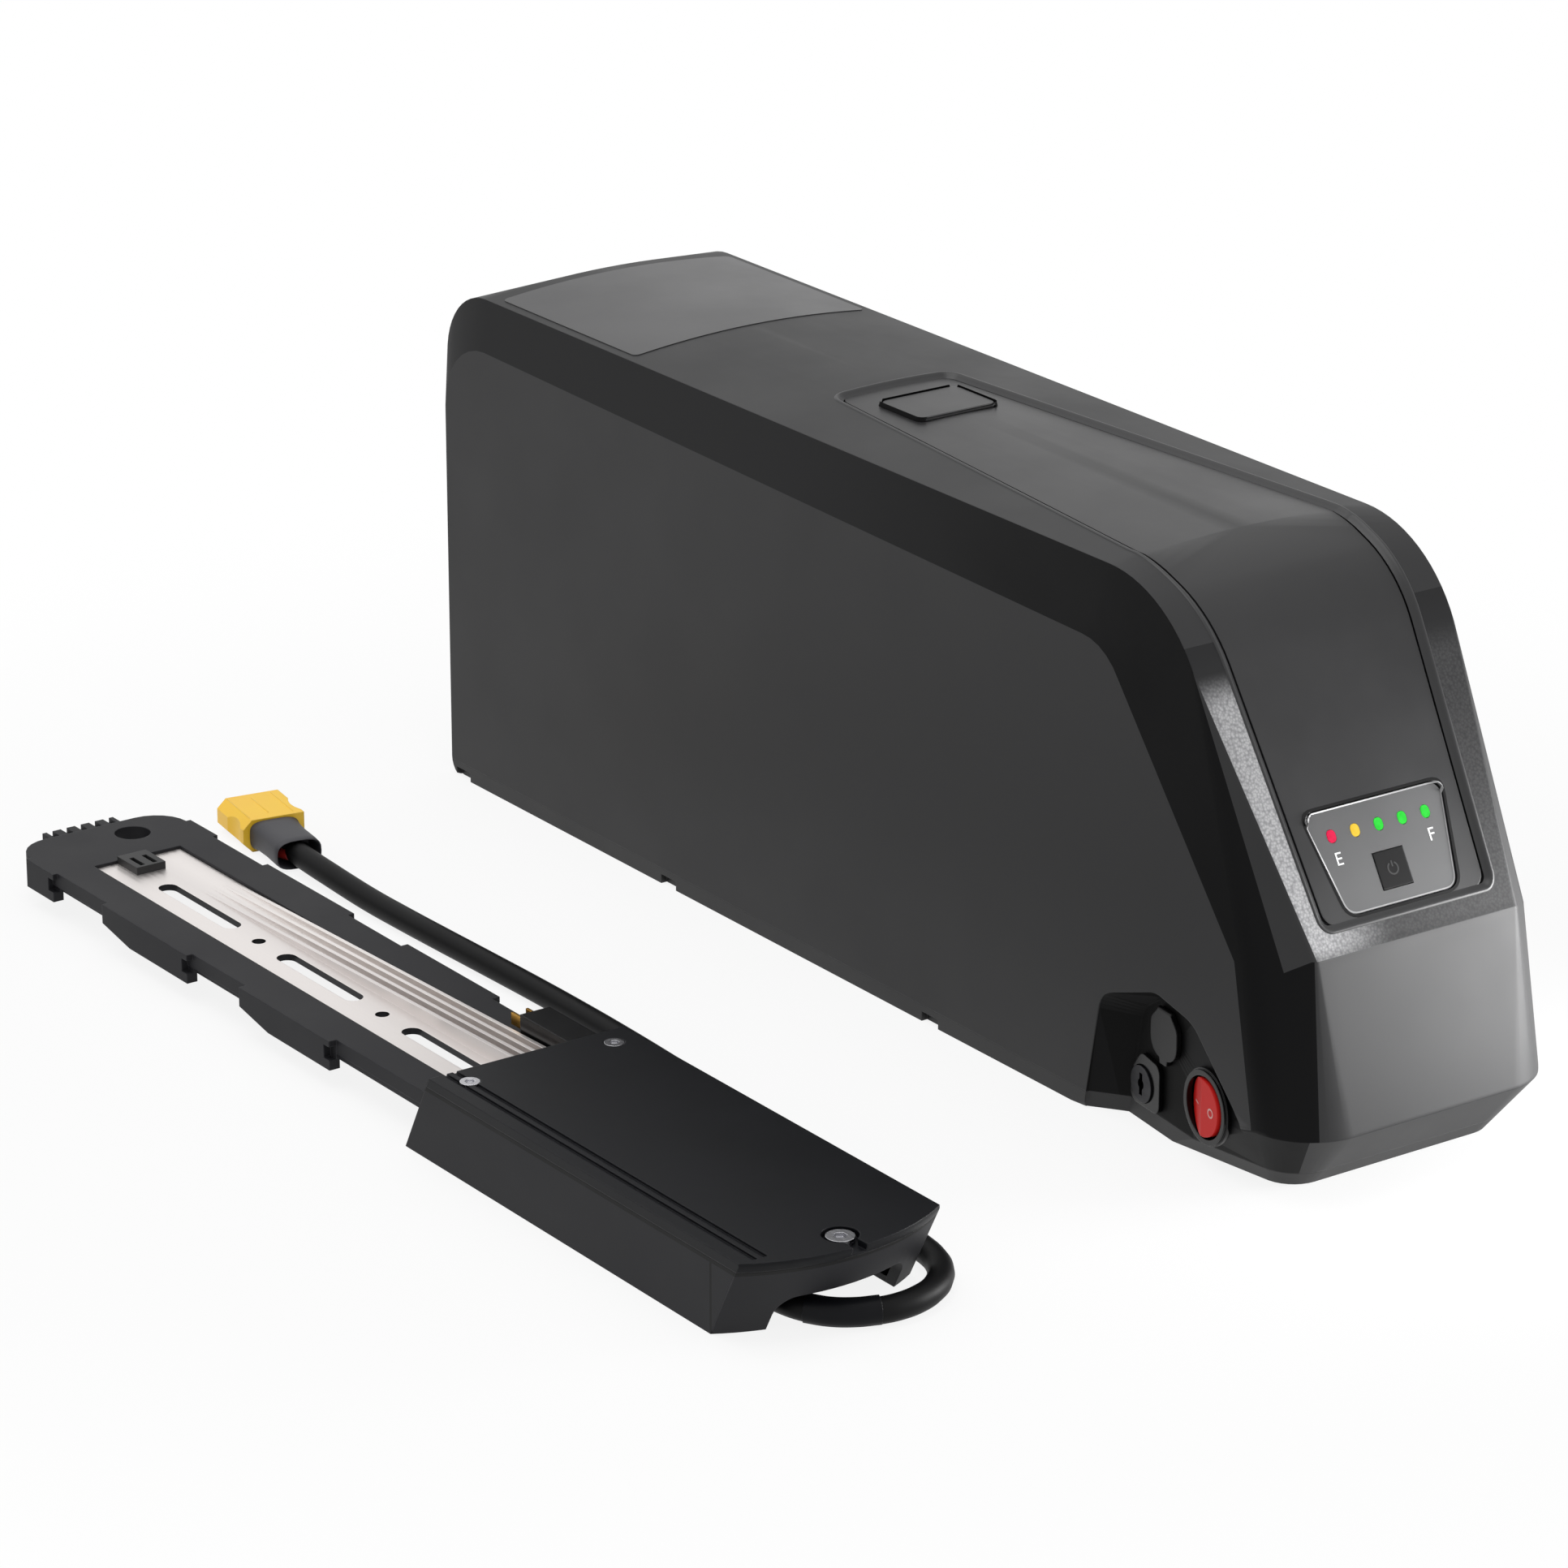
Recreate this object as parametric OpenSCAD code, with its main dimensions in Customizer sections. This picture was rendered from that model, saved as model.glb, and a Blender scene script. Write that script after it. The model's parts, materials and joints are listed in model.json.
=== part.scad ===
// Removable e-bike battery and the mounting base that carries it on the frame tube.
// The battery stands at the +Y side and the base lies beside it at the -Y side.
// Millimetres. +X is the display end, +Z is up, and both stand on the plane Z = 0.

/* [Battery case] */
// Length of the battery case
case_l = 430; // [415:1:480]
// Width of the battery case over its side faces
case_w = 98; // [96:1:112]
// Height of the case up to the upper crease
case_h = 163; // [160:1:180]
// Rise of the crowned top above the crease
crown_rise = 3; // [1:0.5:5]
// Wall of the case
case_wall = 2.6; // [2:0.1:3]
// Radius of the upper rear corner
rear_top_r = 23; // [18:1:26]
// Radius of the upper front corner
front_top_r = 44; // [36:1:50]
// Step in from the side face to the crease
band_in = 3; // [2:0.5:5]
// Height of the chamfer band at the rear
band_rear_h = 16; // [12:1:20]
// Height of the chamfer band at the front corner
band_front_h = 22; // [18:1:26]
// Radius of the side face's front corner
side_front_r = 20; // [14:1:24]
// Setback of the slope's foot from the nose
slope_foot_in = 9; // [7:0.5:12]
// Height of the slope's foot
slope_foot_z = 68; // [62:1:74]
// Half width of the slope at its foot
slope_foot_half = 38; // [36:1:41]
// Radius of the nose's upright corners
nose_r = 20; // [14:1:24]
// Height of the chamfer under the nose
toe_h = 19; // [14:1:24]
// Length of the chamfer under the nose
toe_run = 16; // [12:1:20]
// Length of the front that narrows towards the floor
toe_taper = 100; // [80:5:120]
// Radius of the lower rear corner
rear_foot_r = 6; // [4:0.5:8]
// Softening of the long edges
edge_r = 3; // [2.8:0.1:4]
// Height of the parting line above the floor
split_z = 5; // [4.4:0.1:6]

/* [Recess and inlay] */
// Depth of the recess on the top and the slope
recess_depth = 3.5; // [3:0.1:4]
// Place of the recess's rear end, as a share of the case's length
recess_start_share = 0.405; // [0.385:0.005:0.43]
// Half width of the recess at its rear end
recess_rear_half = 22; // [20:0.5:24]
// Distance from the nose to the widest part of the recess
recess_wide_back = 95; // [92:1:100]
// Half width of the recess at the front corner
recess_half = 36; // [35:0.5:38]
// Half width of the recess at the foot of the slope
recess_foot_half = 31; // [30:0.5:33]
// Height of the foot of the recess
recess_foot_z = 75; // [73:0.5:78]
// How far the inlay lies below the case's surface
inlay_drop = 1.2; // [0.8:0.1:1.6]
// Gap along both sides of the inlay
inlay_side_gap = 2.6; // [2:0.1:3.5]
// Gap at the ends of the inlay
inlay_end_gap = 0.6; // [0.4:0.1:1.2]
// Length of the badge plate along the case
badge_l = 22; // [18:1:24]
// Width of the badge plate
badge_w = 29; // [24:1:32]
// Distance from the recess's rear end to the badge
badge_setback = 13; // [11:1:18]

/* [Display] */
// Width of the display plate at its top
panel_top_w = 50; // [46:1:52]
// Width of the display plate at its foot
panel_foot_w = 39; // [36:1:42]
// Height of the display plate along the slope
panel_h = 30; // [28:1:32]
// Corner radius of the display plate
panel_r = 4; // [3:0.5:5]
// Thickness of the display plate
panel_t = 1.8; // [1.5:0.1:2.2]
// Distance from the recess's foot to the display plate
panel_rise = 3; // [2.5:0.5:5]
// Pitch of the charge lights
led_pitch = 8.4; // [7.5:0.1:9]
// Width of a charge light
led_w = 2.8; // [2.4:0.1:4]
// Height of a charge light
led_h = 3.6; // [3:0.1:5]
// Distance of the lights below the plate's upper edge
led_drop = 7.6; // [6:0.2:9]
// Side of the square power button
button_side = 10.6; // [9:0.2:12]
// Travel of the power button
button_travel = 0.8; // [0.4:0.1:1]
// Distance of the button's centre below the plate's upper edge
button_drop = 20.4; // [19:0.2:21.5]

/* [Side pocket] */
// Distance from the nose to the pocket's floor
pocket_back = 85; // [80:1:88]
// Depth of the pocket at its rear
pocket_depth = 8.5; // [7:0.5:9.5]
// Turn of the pocket's floor from the side face
pocket_angle = 7.4; // [6.5:0.1:8]
// Height of the pocket
pocket_h = 45; // [43:1:48]
// Spread of the pocket's sloping wall
pocket_spread = 9; // [6:1:11]
// Diameter of the switch's bezel
switch_d = 22.6; // [21:0.2:24]
// Diameter of the rocker
rocker_d = 17; // [15.6:0.2:17.6]
// Tilt of the rocker to each side
rocker_tilt = 9; // [5:1:10]
// Bore of the charge socket
charge_bore_d = 6.4; // [6:0.1:7]
// Depth of the charge socket's bore
charge_bore_depth = 9.5; // [8:0.5:11]
// Diameter of the lock barrel
barrel_d = 11; // [10:0.2:12]
// Travel of the lock's bolt
bolt_travel = 6; // [4:0.5:7]

/* [Rail channel in the battery] */
// Length of the channel's tall end
tall_l = 100; // [90:1:110]
// Distance from the channel's front end to the nose
channel_back = 100; // [100:1:112]
// Wall of the channel
channel_wall = 2; // [1.6:0.1:2.4]
// Clearance between the base and the channel
channel_gap = 1; // [0.6:0.1:1.4]
// Height of the shelves that carry the cells
shelf_z = 33; // [31:0.5:34]

/* [Cells] */
// Diameter of a cell
cell_d = 21.4; // [20.6:0.1:21.6]
// Length of a cell
cell_len = 70.2; // [68:0.2:71]
// Pitch of the cells
cell_pitch = 22.8; // [22.4:0.1:23]

/* [Mounting base] */
// Width of the controller box
base_w = 65; // [62:0.5:68]
// Clear space between the base and the battery
set_gap = 107; // [95:1:120]
// Width of the rail over its hooks
rail_w = 58; // [56:0.5:60]
// Height of the rail's top
rail_z = 15; // [14:0.2:16]
// Height of the hooks' undersides
hook_z = 6; // [4:0.5:7]
// Distance from the battery's rear plane to the rail's end
rail_start = 14; // [10:1:18]
// Distance from the battery's rear plane to the controller box
box_start = 248; // [244:1:252]
// Length of the controller box's floor
box_l = 150; // [146:1:156]
// Height of the controller box
box_h = 25; // [23:0.5:26]
// Forward lean of the box's ends
box_lean = 13; // [8:1:16]
// Bulge of the box's curved front
cap_bulge = 9; // [6:0.5:11]
// Width of the aluminium plate
plate_w = 30; // [28:0.5:32]
// Thickness of the aluminium plate
plate_t = 2; // [1.5:0.1:2.5]
// Distance from the rail's end to the aluminium plate
plate_setback = 29; // [26:1:32]
// Width of a mounting slot
slot_w = 6; // [5.2:0.1:6.4]
// Length of a mounting slot from end to end
slot_l = 43; // [38:1:46]
// Pitch of the mounting slots
slot_pitch = 69; // [66:1:72]
// Pitch of the side hooks
hook_pitch = 80; // [78:1:82]
// Diameter of the round hole in the rail's end
rail_hole_d = 11.2; // [9:0.2:12]

/* [Power cable] */
// Diameter of the cable
cable_d = 7.5; // [7:0.1:7.6]
// Width of the plug
plug_w = 20.6; // [19:0.2:22]
// Thickness of the plug
plug_t = 10.6; // [10:0.2:12]
// Length of the plug's housing
plug_l = 22; // [20:1:30]
// Length of the plug's sleeve
sleeve_l = 18; // [13:1:22]

/* [Hidden] */

// Overrun of a cut past the face that it opens
over = 1;
// Gap between pieces that lie against each other without a fit
slip = 0.3;
// Radial clearance of a turning or sliding piece
run_gap = 0.15;

// The set is centred on the origin: battery at +Y, base at -Y.
set_w = base_w + set_gap + case_w;
case_y = (set_w - case_w) / 2;
base_y = (base_w - set_w) / 2;

// A point list with its corners rounded, each by its own radius.
function unit(v) = v / norm(v);
function corner_arc(a, b, c, r, n) =
    let (u = unit(a - b), w = unit(c - b))
    let (half = acos(u * w) / 2)
    let (centre = b + unit(u + w) * (r / sin(half)))
    let (from = b + u * (r / tan(half)) - centre, to = b + w * (r / tan(half)) - centre)
    let (start = atan2(from[1], from[0]), turn = (180 - 2 * half) * sign(from[0] * to[1] - from[1] * to[0]))
    [for (i = [0 : n]) centre + r * [cos(start + turn * i / n), sin(start + turn * i / n)]];
function rounded(pts, radii, n = 6) =
    let (m = len(pts))
    [for (i = [0 : m - 1]) each (radii[i] == 0 ? [pts[i]]
        : corner_arc(pts[(i + m - 1) % m], pts[i], pts[(i + 1) % m], radii[i], n))];
function rectangle(l, w, r, n = 6) =
    rounded([[-l / 2, -w / 2], [l / 2, -w / 2], [l / 2, w / 2], [-l / 2, w / 2]], [r, r, r, r], n);

// A block with rounded upright corners, centred on X and Y and standing on Z = 0.
module pad(l, w, h, r) {
    linear_extrude(h) polygon(rectangle(l, w, r));
}

// A block centred on X and Y and standing on Z = 0.
module block(l, w, h) {
    translate([-l / 2, -w / 2, 0]) cube([l, w, h]);
}

// A rod along Y, centred on Y = 0.
module y_rod(x, z, r, half_w) {
    translate([x, half_w, z]) rotate([90, 0, 0]) cylinder(r = r, h = 2 * half_w);
}

// An outline in X and Z, extruded along Y from y0 to y1.
module side_plate(pts, y0, y1) {
    translate([0, y1, 0]) rotate([90, 0, 0]) linear_extrude(y1 - y0) polygon(pts);
}

// The places of the case's main forms, measured from its rear and from its middle plane.
slope_run_share = 0.6;
slope_angle = atan(slope_run_share);
slope_foot_x = case_l - slope_foot_in;
slope_top_x = slope_foot_x - (case_h - slope_foot_z) * slope_run_share;
front_arc_x = slope_top_x - front_top_r * tan((90 - slope_angle) / 2);
side_arc_x = front_arc_x - front_top_r * 0.18;
case_half = case_w / 2;
recess_start = case_l * recess_start_share;
recess_wide_x = case_l - recess_wide_back;
pocket_x = case_l - pocket_back;
channel_l = case_l - channel_back;
crease_half = case_half - band_in;
crown_r = (pow(crease_half, 2) + pow(crown_rise, 2)) / (2 * crown_rise);
disc_h = edge_r / 3;
toe_corner_r = nose_r / 2;

// The case's outer form, or the same form moved inwards by d. A radius never shrinks to nothing:
// past that, the small ball at the slope's foot moves in along the slope's normal instead.
function inset(r, d) = max(r - d, disc_h / 4);
module case_form(d) {
    deeper = d - edge_r + inset(edge_r, d);
    hull() {
        y_rod(rear_top_r, case_h - rear_top_r, rear_top_r - d, crease_half - d, $fn = 48);
        y_rod(rear_top_r + band_in, case_h - band_rear_h - rear_top_r, rear_top_r - d, case_half - d,
            $fn = 32);
        y_rod(front_arc_x, case_h - front_top_r, front_top_r - d, crease_half - d, $fn = 80);
        y_rod(side_arc_x, case_h - band_front_h - side_front_r, side_front_r - d, case_half - d, $fn = 32);
        y_rod(rear_foot_r, rear_foot_r, inset(rear_foot_r, d), crease_half - d, $fn = 24);
        y_rod(rear_foot_r + band_in, rear_foot_r, inset(rear_foot_r, d), case_half - d, $fn = 24);
        y_rod(case_l - toe_taper, rear_foot_r, inset(rear_foot_r, d), case_half - d, $fn = 12);
        crown(d);
        for (side = [-1, 1]) {
            translate([case_l - nose_r, side * (case_half - nose_r), toe_h])
                cylinder(r = nose_r - d, h = disc_h, $fn = 48);
            translate([slope_foot_x - nose_r, side * (case_half - nose_r), slope_foot_z - edge_r])
                cylinder(r = nose_r - d, h = disc_h, $fn = 48);
            translate([case_l - toe_run - toe_corner_r, side * (case_half - nose_r), d])
                cylinder(r = toe_corner_r - d, h = disc_h, $fn = 32);
            translate([slope_foot_x - edge_r / cos(slope_angle) - deeper * cos(slope_angle),
                side * (slope_foot_half - edge_r - deeper), slope_foot_z - deeper * sin(slope_angle)])
                sphere(r = inset(edge_r, d), $fn = 24);
        }
    }
}

// The crowned strip along the top of the case.
module crown(d) {
    turn = asin(crease_half / crown_r);
    steps = 8;
    pts = [for (i = [-steps : steps])
        let (a = turn * i / steps)
        [(crown_r - d) * sin(a), case_h + crown_rise - crown_r + (crown_r - d) * cos(a)]];
    translate([rear_top_r, 0, 0]) rotate([90, 0, 90]) linear_extrude(front_arc_x - rear_top_r)
        polygon(concat(pts, [[0, case_h / 2]]));
}

// The prism that the recess or the inlay fills, drawn in by side_in and end_in.
module recess_prism(side_in, end_in) {
    top_z = case_h / 2;
    reach = case_h;
    rear_r = recess_rear_half / 4;
    wide = recess_half - side_in;
    union() {
        translate([0, 0, top_z]) linear_extrude(reach) polygon(rounded(
            [[recess_start + end_in, -recess_rear_half + side_in], [recess_wide_x, -wide],
            [recess_wide_x, wide], [recess_start + end_in, recess_rear_half - side_in]],
            [rear_r, 0, 0, rear_r]));
        foot_half = recess_foot_half - side_in;
        translate([recess_wide_x, 0, 0]) rotate([90, 0, 90]) linear_extrude(case_l - recess_wide_x)
            polygon(rounded([[-foot_half, recess_foot_z + end_in], [foot_half, recess_foot_z + end_in],
                [wide, case_h], [wide, case_h + reach], [-wide, case_h + reach], [-wide, case_h]],
                [panel_r, panel_r, 0, 0, 0, 0]));
    }
}

// Puts its children on the slope: X runs to +Y, Y runs up the slope and Z points out.
// drop is how far below the case's surface, rise is the distance up from the recess's foot.
module on_slope(drop, rise) {
    translate([slope_foot_x - (recess_foot_z - slope_foot_z) * slope_run_share, 0, recess_foot_z])
        rotate([0, -slope_angle, 0]) rotate([90, 0, 90]) translate([0, rise, -drop]) children();
}

// Puts its children in the side pocket: X runs forward, Z up and Y into the case.
module in_pocket(u, v) {
    translate([pocket_x, -case_half + pocket_depth, 0]) rotate([0, 0, -pocket_angle])
        translate([u, 0, v]) children();
}

// A disc or rod that stands on the pocket's floor, from y0 to y1, Y into the case.
module pocket_rod(u, v, r, y0, y1) {
    in_pocket(u, v) translate([0, y1, 0]) rotate([90, 0, 0]) cylinder(r = r, h = y1 - y0);
}

// The pocket's hollow, or the same hollow grown by g. Its floor runs out level with the side.
pocket_run = pocket_depth / tan(pocket_angle);
module pocket_form(g) {
    floor_pts = [[0, -pocket_h / 9], [pocket_h * 0.17, pocket_h * 0.76], [pocket_h * 0.5, pocket_h * 0.97],
        [pocket_h * 0.88, pocket_h * 0.9], [pocket_h * 1.36, pocket_h * 0.42], [pocket_run, -pocket_h / 9]];
    radii = [0, pocket_h / 5, pocket_h / 5, pocket_h / 4, pocket_h / 5, 0];
    rise = pocket_spread / 3;
    hull() {
        in_pocket(0, 0) side_plate(rounded([floor_pts[0] + [-g, -g], floor_pts[1] + [-g, g],
            floor_pts[2] + [0, g], floor_pts[3] + [g, g], floor_pts[4] + [g, g], floor_pts[5] + [g, -g]],
            radii), -disc_h, g);
        in_pocket(0, 0) side_plate(rounded([floor_pts[0] + [-g - pocket_spread, -g],
            floor_pts[1] + [-g - pocket_spread, g + rise], floor_pts[2] + [0, g + rise],
            floor_pts[3] + [g, g + rise], floor_pts[4] + [g, g], floor_pts[5] + [g, -g]],
            radii), -pocket_depth - over, -pocket_depth);
    }
}

// The places of what sits in the pocket.
switch_u = 44;
switch_v = 18;
charge_u = 21.5;
charge_v = 31;
lock_u = 10.5;
lock_v = 12.5;
switch_body_d = 19.8;
charge_body_d = 10.4;
barrel_l = 26;

// The channel in the battery's underside takes the rail and the box.
tall_half = base_w / 2 + channel_gap;
low_half = rail_w / 2 + channel_gap;
channel_h = box_h + channel_gap;

// The screws that hold the bottom cover stand in the room beside the channel.
side_room = case_half - case_wall - tall_half - channel_wall;
boss_d = side_room * 0.77;
cover_screw_d = boss_d * 0.36;
cover_head_d = boss_d * 0.67;
cover_head_h = 2;
boss_h = 14;
boss_gap = 0.4;
cover_screw_x = [for (share = [0.037, 0.274, 0.516, 0.74]) case_l * share];
cover_screw_y = case_half - case_wall - boss_d / 2 - boss_gap;
front_boss_x = case_l - toe_run - toe_corner_r - boss_d;
module at_cover_screws() {
    for (side = [-1, 1]) {
        for (x = cover_screw_x) translate([x, side * cover_screw_y, 0]) children();
    }
    translate([front_boss_x, 0, 0]) children();
}

// The channel's solid walls and its hollow.
plate_floor_t = case_wall;
lip_l = hook_pitch / 3;
lip_reach = band_in;
module channel_solid() {
    translate([-over, -tall_half - channel_wall, 0])
        cube([tall_l + channel_wall + over, 2 * (tall_half + channel_wall), channel_h + channel_wall]);
    translate([0, -low_half - channel_wall, 0])
        cube([channel_l + channel_wall, 2 * (low_half + channel_wall), channel_h + channel_wall]);
}
module channel_space() {
    translate([-over, -tall_half, -over]) cube([tall_l + over, 2 * tall_half, channel_h + over]);
    difference() {
        translate([0, -low_half, -over]) cube([channel_l, 2 * low_half, channel_h + over]);
        for (side = [-1, 1]) {
            for (i = [0 : 2]) translate([channel_l - lip_l / 2 - i * hook_pitch, side * low_half, -over])
                block(lip_l, 2 * lip_reach, hook_z - slip + over);
        }
    }
}
module rear_mouth() {
    translate([-over, -tall_half - channel_wall, 0])
        cube([case_wall + 2 * over, 2 * (tall_half + channel_wall), channel_h + channel_wall]);
}

// Upper half space above a plane at height z.
module above(z) {
    translate([-case_l, -case_w, z]) cube([3 * case_l, 2 * case_w, 2 * case_h]);
}

// Opening under the display plate, and the place of the display's parts.
seat_w = 2;
led_rise = panel_rise + panel_h - led_drop;
button_rise = panel_rise + panel_h - button_drop;
inner_drop = recess_depth + case_wall + slip / 3;
panel_drop = recess_depth - panel_t;

screw_fit = 0.1;
function toe_x(z) = case_l - toe_run * (1 - min(z, toe_h) / toe_h);
module main_housing() {
    color("#2b2b2c") difference() {
        union() {
            difference() {
                intersection() {
                    case_form(0);
                    above(split_z);
                }
                difference() {
                    case_form(case_wall);
                    difference() {
                        recess_prism(-case_wall, -case_wall);
                        case_form(recess_depth + case_wall);
                    }
                    pocket_form(case_wall);
                }
                difference() {
                    recess_prism(0, 0);
                    case_form(recess_depth);
                }
                pocket_form(0);
            }
            for (side = [-1, 1]) {
                for (x = cover_screw_x) translate([x, side * cover_screw_y, split_z]) {
                    cylinder(d = boss_d, h = boss_h, $fn = 32);
                    translate([0, side * boss_d / 4, 0]) block(boss_d / 2, boss_d / 2 + case_wall, boss_h);
                }
            }
            translate([front_boss_x, 0, split_z]) cylinder(d = boss_d, h = boss_h, $fn = 32);
            side_plate([[front_boss_x, split_z], [toe_x(split_z) - 0.8 * case_wall, split_z],
                [toe_x(split_z + boss_h) - 0.8 * case_wall, split_z + boss_h],
                [front_boss_x, split_z + boss_h]], -case_wall / 2, case_wall / 2);
        }
        at_cover_screws() translate([0, 0, split_z - over])
            cylinder(d = cover_screw_d + screw_fit, h = boss_h, $fn = 32);
        on_slope(inner_drop + over, panel_rise)
            linear_extrude(case_wall + 2 * over) polygon(panel_outline(-seat_w));
        pocket_rod(switch_u, switch_v, switch_body_d / 2 + run_gap, -over, case_wall + over, $fn = 64);
        pocket_rod(charge_u, charge_v, charge_body_d / 2 + run_gap, -over, case_wall + over, $fn = 64);
        pocket_rod(lock_u, lock_v, barrel_d / 2 + run_gap, -over, case_wall + over, $fn = 64);
        rear_mouth();
    }
}

// Notches in the lower edge of the case.
notch_l = 8;
notch_h = 3;
notch_x = [for (share = [0.023, 0.295, 0.61]) case_l * share];
groove_in = case_wall * 0.3;
groove_w = case_wall * 0.35;
groove_h = split_z * 0.16;
shelf_t = channel_wall * 1.2;
shelf_x = [for (share = [0.055, 0.176, 0.279, 0.424, 0.545, 0.667, 0.788, 0.909]) channel_l * share];
module cover_solids() {
    channel_solid();
    for (x = shelf_x) translate([x, 0, plate_floor_t]) block(shelf_t, 2 * tall_half, shelf_z - plate_floor_t);
    for (side = [-1, 1]) {
        for (x = cover_screw_x) translate([x, side * cover_screw_y, 0]) cylinder(d = boss_d,
            h = split_z, $fn = 32);
    }
    translate([front_boss_x, 0, 0]) cylinder(d = boss_d, h = split_z, $fn = 32);
}
module bottom_cover() {
    color("#262627") difference() {
        case_form(0);
        difference() {
            above(split_z);
            cover_solids();
        }
        difference() {
            intersection() {
                case_form(case_wall);
                above(plate_floor_t);
            }
            pocket_form(case_wall);
            cover_solids();
        }
        difference() {
            case_form(groove_in);
            case_form(groove_in + groove_w);
            above(split_z + over);
            mirror([0, 0, 1]) above(-split_z + groove_h);
            pocket_form(case_wall);
        }
        pocket_form(0);
        channel_space();
        for (side = [-1, 1]) {
            for (x = notch_x) translate([x, side * case_half, -over])
                block(notch_l, 1.6 * case_wall, notch_h + over);
        }
        at_cover_screws() {
            translate([0, 0, -over]) cylinder(d = cover_screw_d + 2 * run_gap, h = split_z + 2 * over,
                $fn = 32);
            translate([0, 0, -over])
                cylinder(d = cover_head_d + 2 * run_gap, h = cover_head_h + slip + over, $fn = 32);
        }
        translate([channel_l + channel_wall, socket_y, lead_z]) rotate([0, -90, 0])
            block(lead_d + 4 * run_gap, lead_gap + lead_d + 4 * run_gap,
            channel_l - tall_l - socket_l - over);
        translate([channel_l - over, 0, bolt_z - run_gap])
            block(3 * channel_wall + 2 * over, bolt_w + 2 * run_gap, bolt_h + 2 * run_gap);
        translate([neck_x, socket_y, channel_h - over])
            block(neck_l + 2 * run_gap, socket_w + 2 * run_gap, channel_wall + 2 * over);
    }
}

module cover_gasket() {
    color("#1a1a1a") difference() {
        case_form(groove_in);
        case_form(groove_in + groove_w);
        above(split_z);
        mirror([0, 0, 1]) above(-split_z + groove_h);
        pocket_form(case_wall);
        rear_mouth();
    }
}

module cover_screws() {
    color("#4a4a4c") at_cover_screws() difference() {
        union() {
            translate([0, 0, slip]) cylinder(d = cover_head_d, h = cover_head_h, $fn = 32);
            translate([0, 0, slip]) cylinder(d = cover_screw_d, h = boss_h, $fn = 32);
        }
        cylinder(d = cover_screw_d * 0.7, h = cover_head_h, $fn = 6);
    }
}

module top_inlay() {
    color("#3a3a3c") difference() {
        intersection() {
            recess_prism(inlay_side_gap, inlay_end_gap);
            case_form(inlay_drop);
        }
        case_form(recess_depth);
        at_badge() translate([0, 0, -over]) pad(badge_l + 2 * slip, badge_w + 2 * slip, case_h, edge_r);
        on_slope(recess_depth + over, panel_rise)
            linear_extrude(recess_depth + 2 * over) polygon(panel_outline(slip));
    }
}

// The badge's place on the recess floor.
badge_proud = 0.8;
badge_t = recess_depth - inlay_drop + badge_proud;
module at_badge() {
    translate([recess_start + badge_setback + badge_l / 2, 0, case_h + crown_rise - recess_depth]) children();
}
module badge_plate() {
    color("#303032") at_badge() {
        pad(badge_l, badge_w, badge_t - edge_r / 6, edge_r);
        pad(badge_l - edge_r / 3, badge_w - edge_r / 3, badge_t, edge_r);
    }
}

// The display plate's outline, grown by g.
function panel_outline(g) = rounded([[-panel_foot_w / 2 - g, -g], [panel_foot_w / 2 + g, -g],
    [panel_top_w / 2 + g, panel_h + g], [-panel_top_w / 2 - g, panel_h + g]],
    [panel_r, panel_r, panel_r, panel_r]);

// An upright oval of the charge lights, w wide and h tall.
module oval(w, h, t) {
    for (side = [-1, 1]) translate([0, side * (h - w) / 2, 0]) cylinder(d = w, h = t, $fn = 32);
    translate([-w / 2, -(h - w) / 2, 0]) cube([w, h - w, t]);
}

module display_bezel() {
    color("#5c5d60") difference() {
        on_slope(recess_depth, panel_rise) linear_extrude(panel_t) polygon(panel_outline(0));
        on_slope(recess_depth + over, led_rise) for (i = [-2 : 2])
            translate([i * led_pitch, 0, 0]) oval(led_w + 2 * run_gap, led_h + 2 * run_gap,
            panel_t + 2 * over);
        on_slope(recess_depth + over, button_rise)
            block(button_side + 2 * run_gap, button_side + 2 * run_gap, panel_t + 2 * over);
    }
}

board_t = 1.6;
module display_board() {
    color("#1f5b3a") {
        on_slope(inner_drop + board_t, panel_rise + panel_h / 2)
            block(panel_top_w, panel_h - panel_r / 2, board_t);
        on_slope(inner_drop, button_rise) cylinder(r = board_t, h = board_t / 2, $fn = 32);
    }
}

// Charge lights, by their place from the middle one.
module charge_light(i) {
    on_slope(inner_drop, led_rise) translate([i * led_pitch, 0, 0])
        oval(led_w, led_h, inner_drop - panel_drop + run_gap);
}
module led_red() { color("#e0244a") charge_light(-2); }
module led_yellow() { color("#e6c84a") charge_light(-1); }
module led_green() { color("#35c44a") for (i = [0 : 2]) charge_light(i); }

button_lip = 1.2;
button_flange = button_side + 2 * button_lip;
module power_button() {
    color("#2c2d2f") {
        on_slope(recess_depth + run_gap, button_rise)
            block(button_side, button_side, panel_t + slip);
        on_slope(recess_depth + run_gap + button_travel, button_rise)
            block(button_flange, button_flange, button_travel);
    }
}

// A blank satin label that follows the crowned top near the rear.
label_t = 0.25;
label_x = case_l * 0.065;
label_l = case_l * 0.172;
label_half = crease_half - band_in;
module rating_label() {
    color("#38383a") intersection() {
        difference() {
            case_form(-label_t);
            case_form(0);
        }
        translate([label_x + label_l / 2, 0, case_h]) pad(label_l, 2 * label_half, 2 * crown_rise, 2);
    }
}

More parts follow.
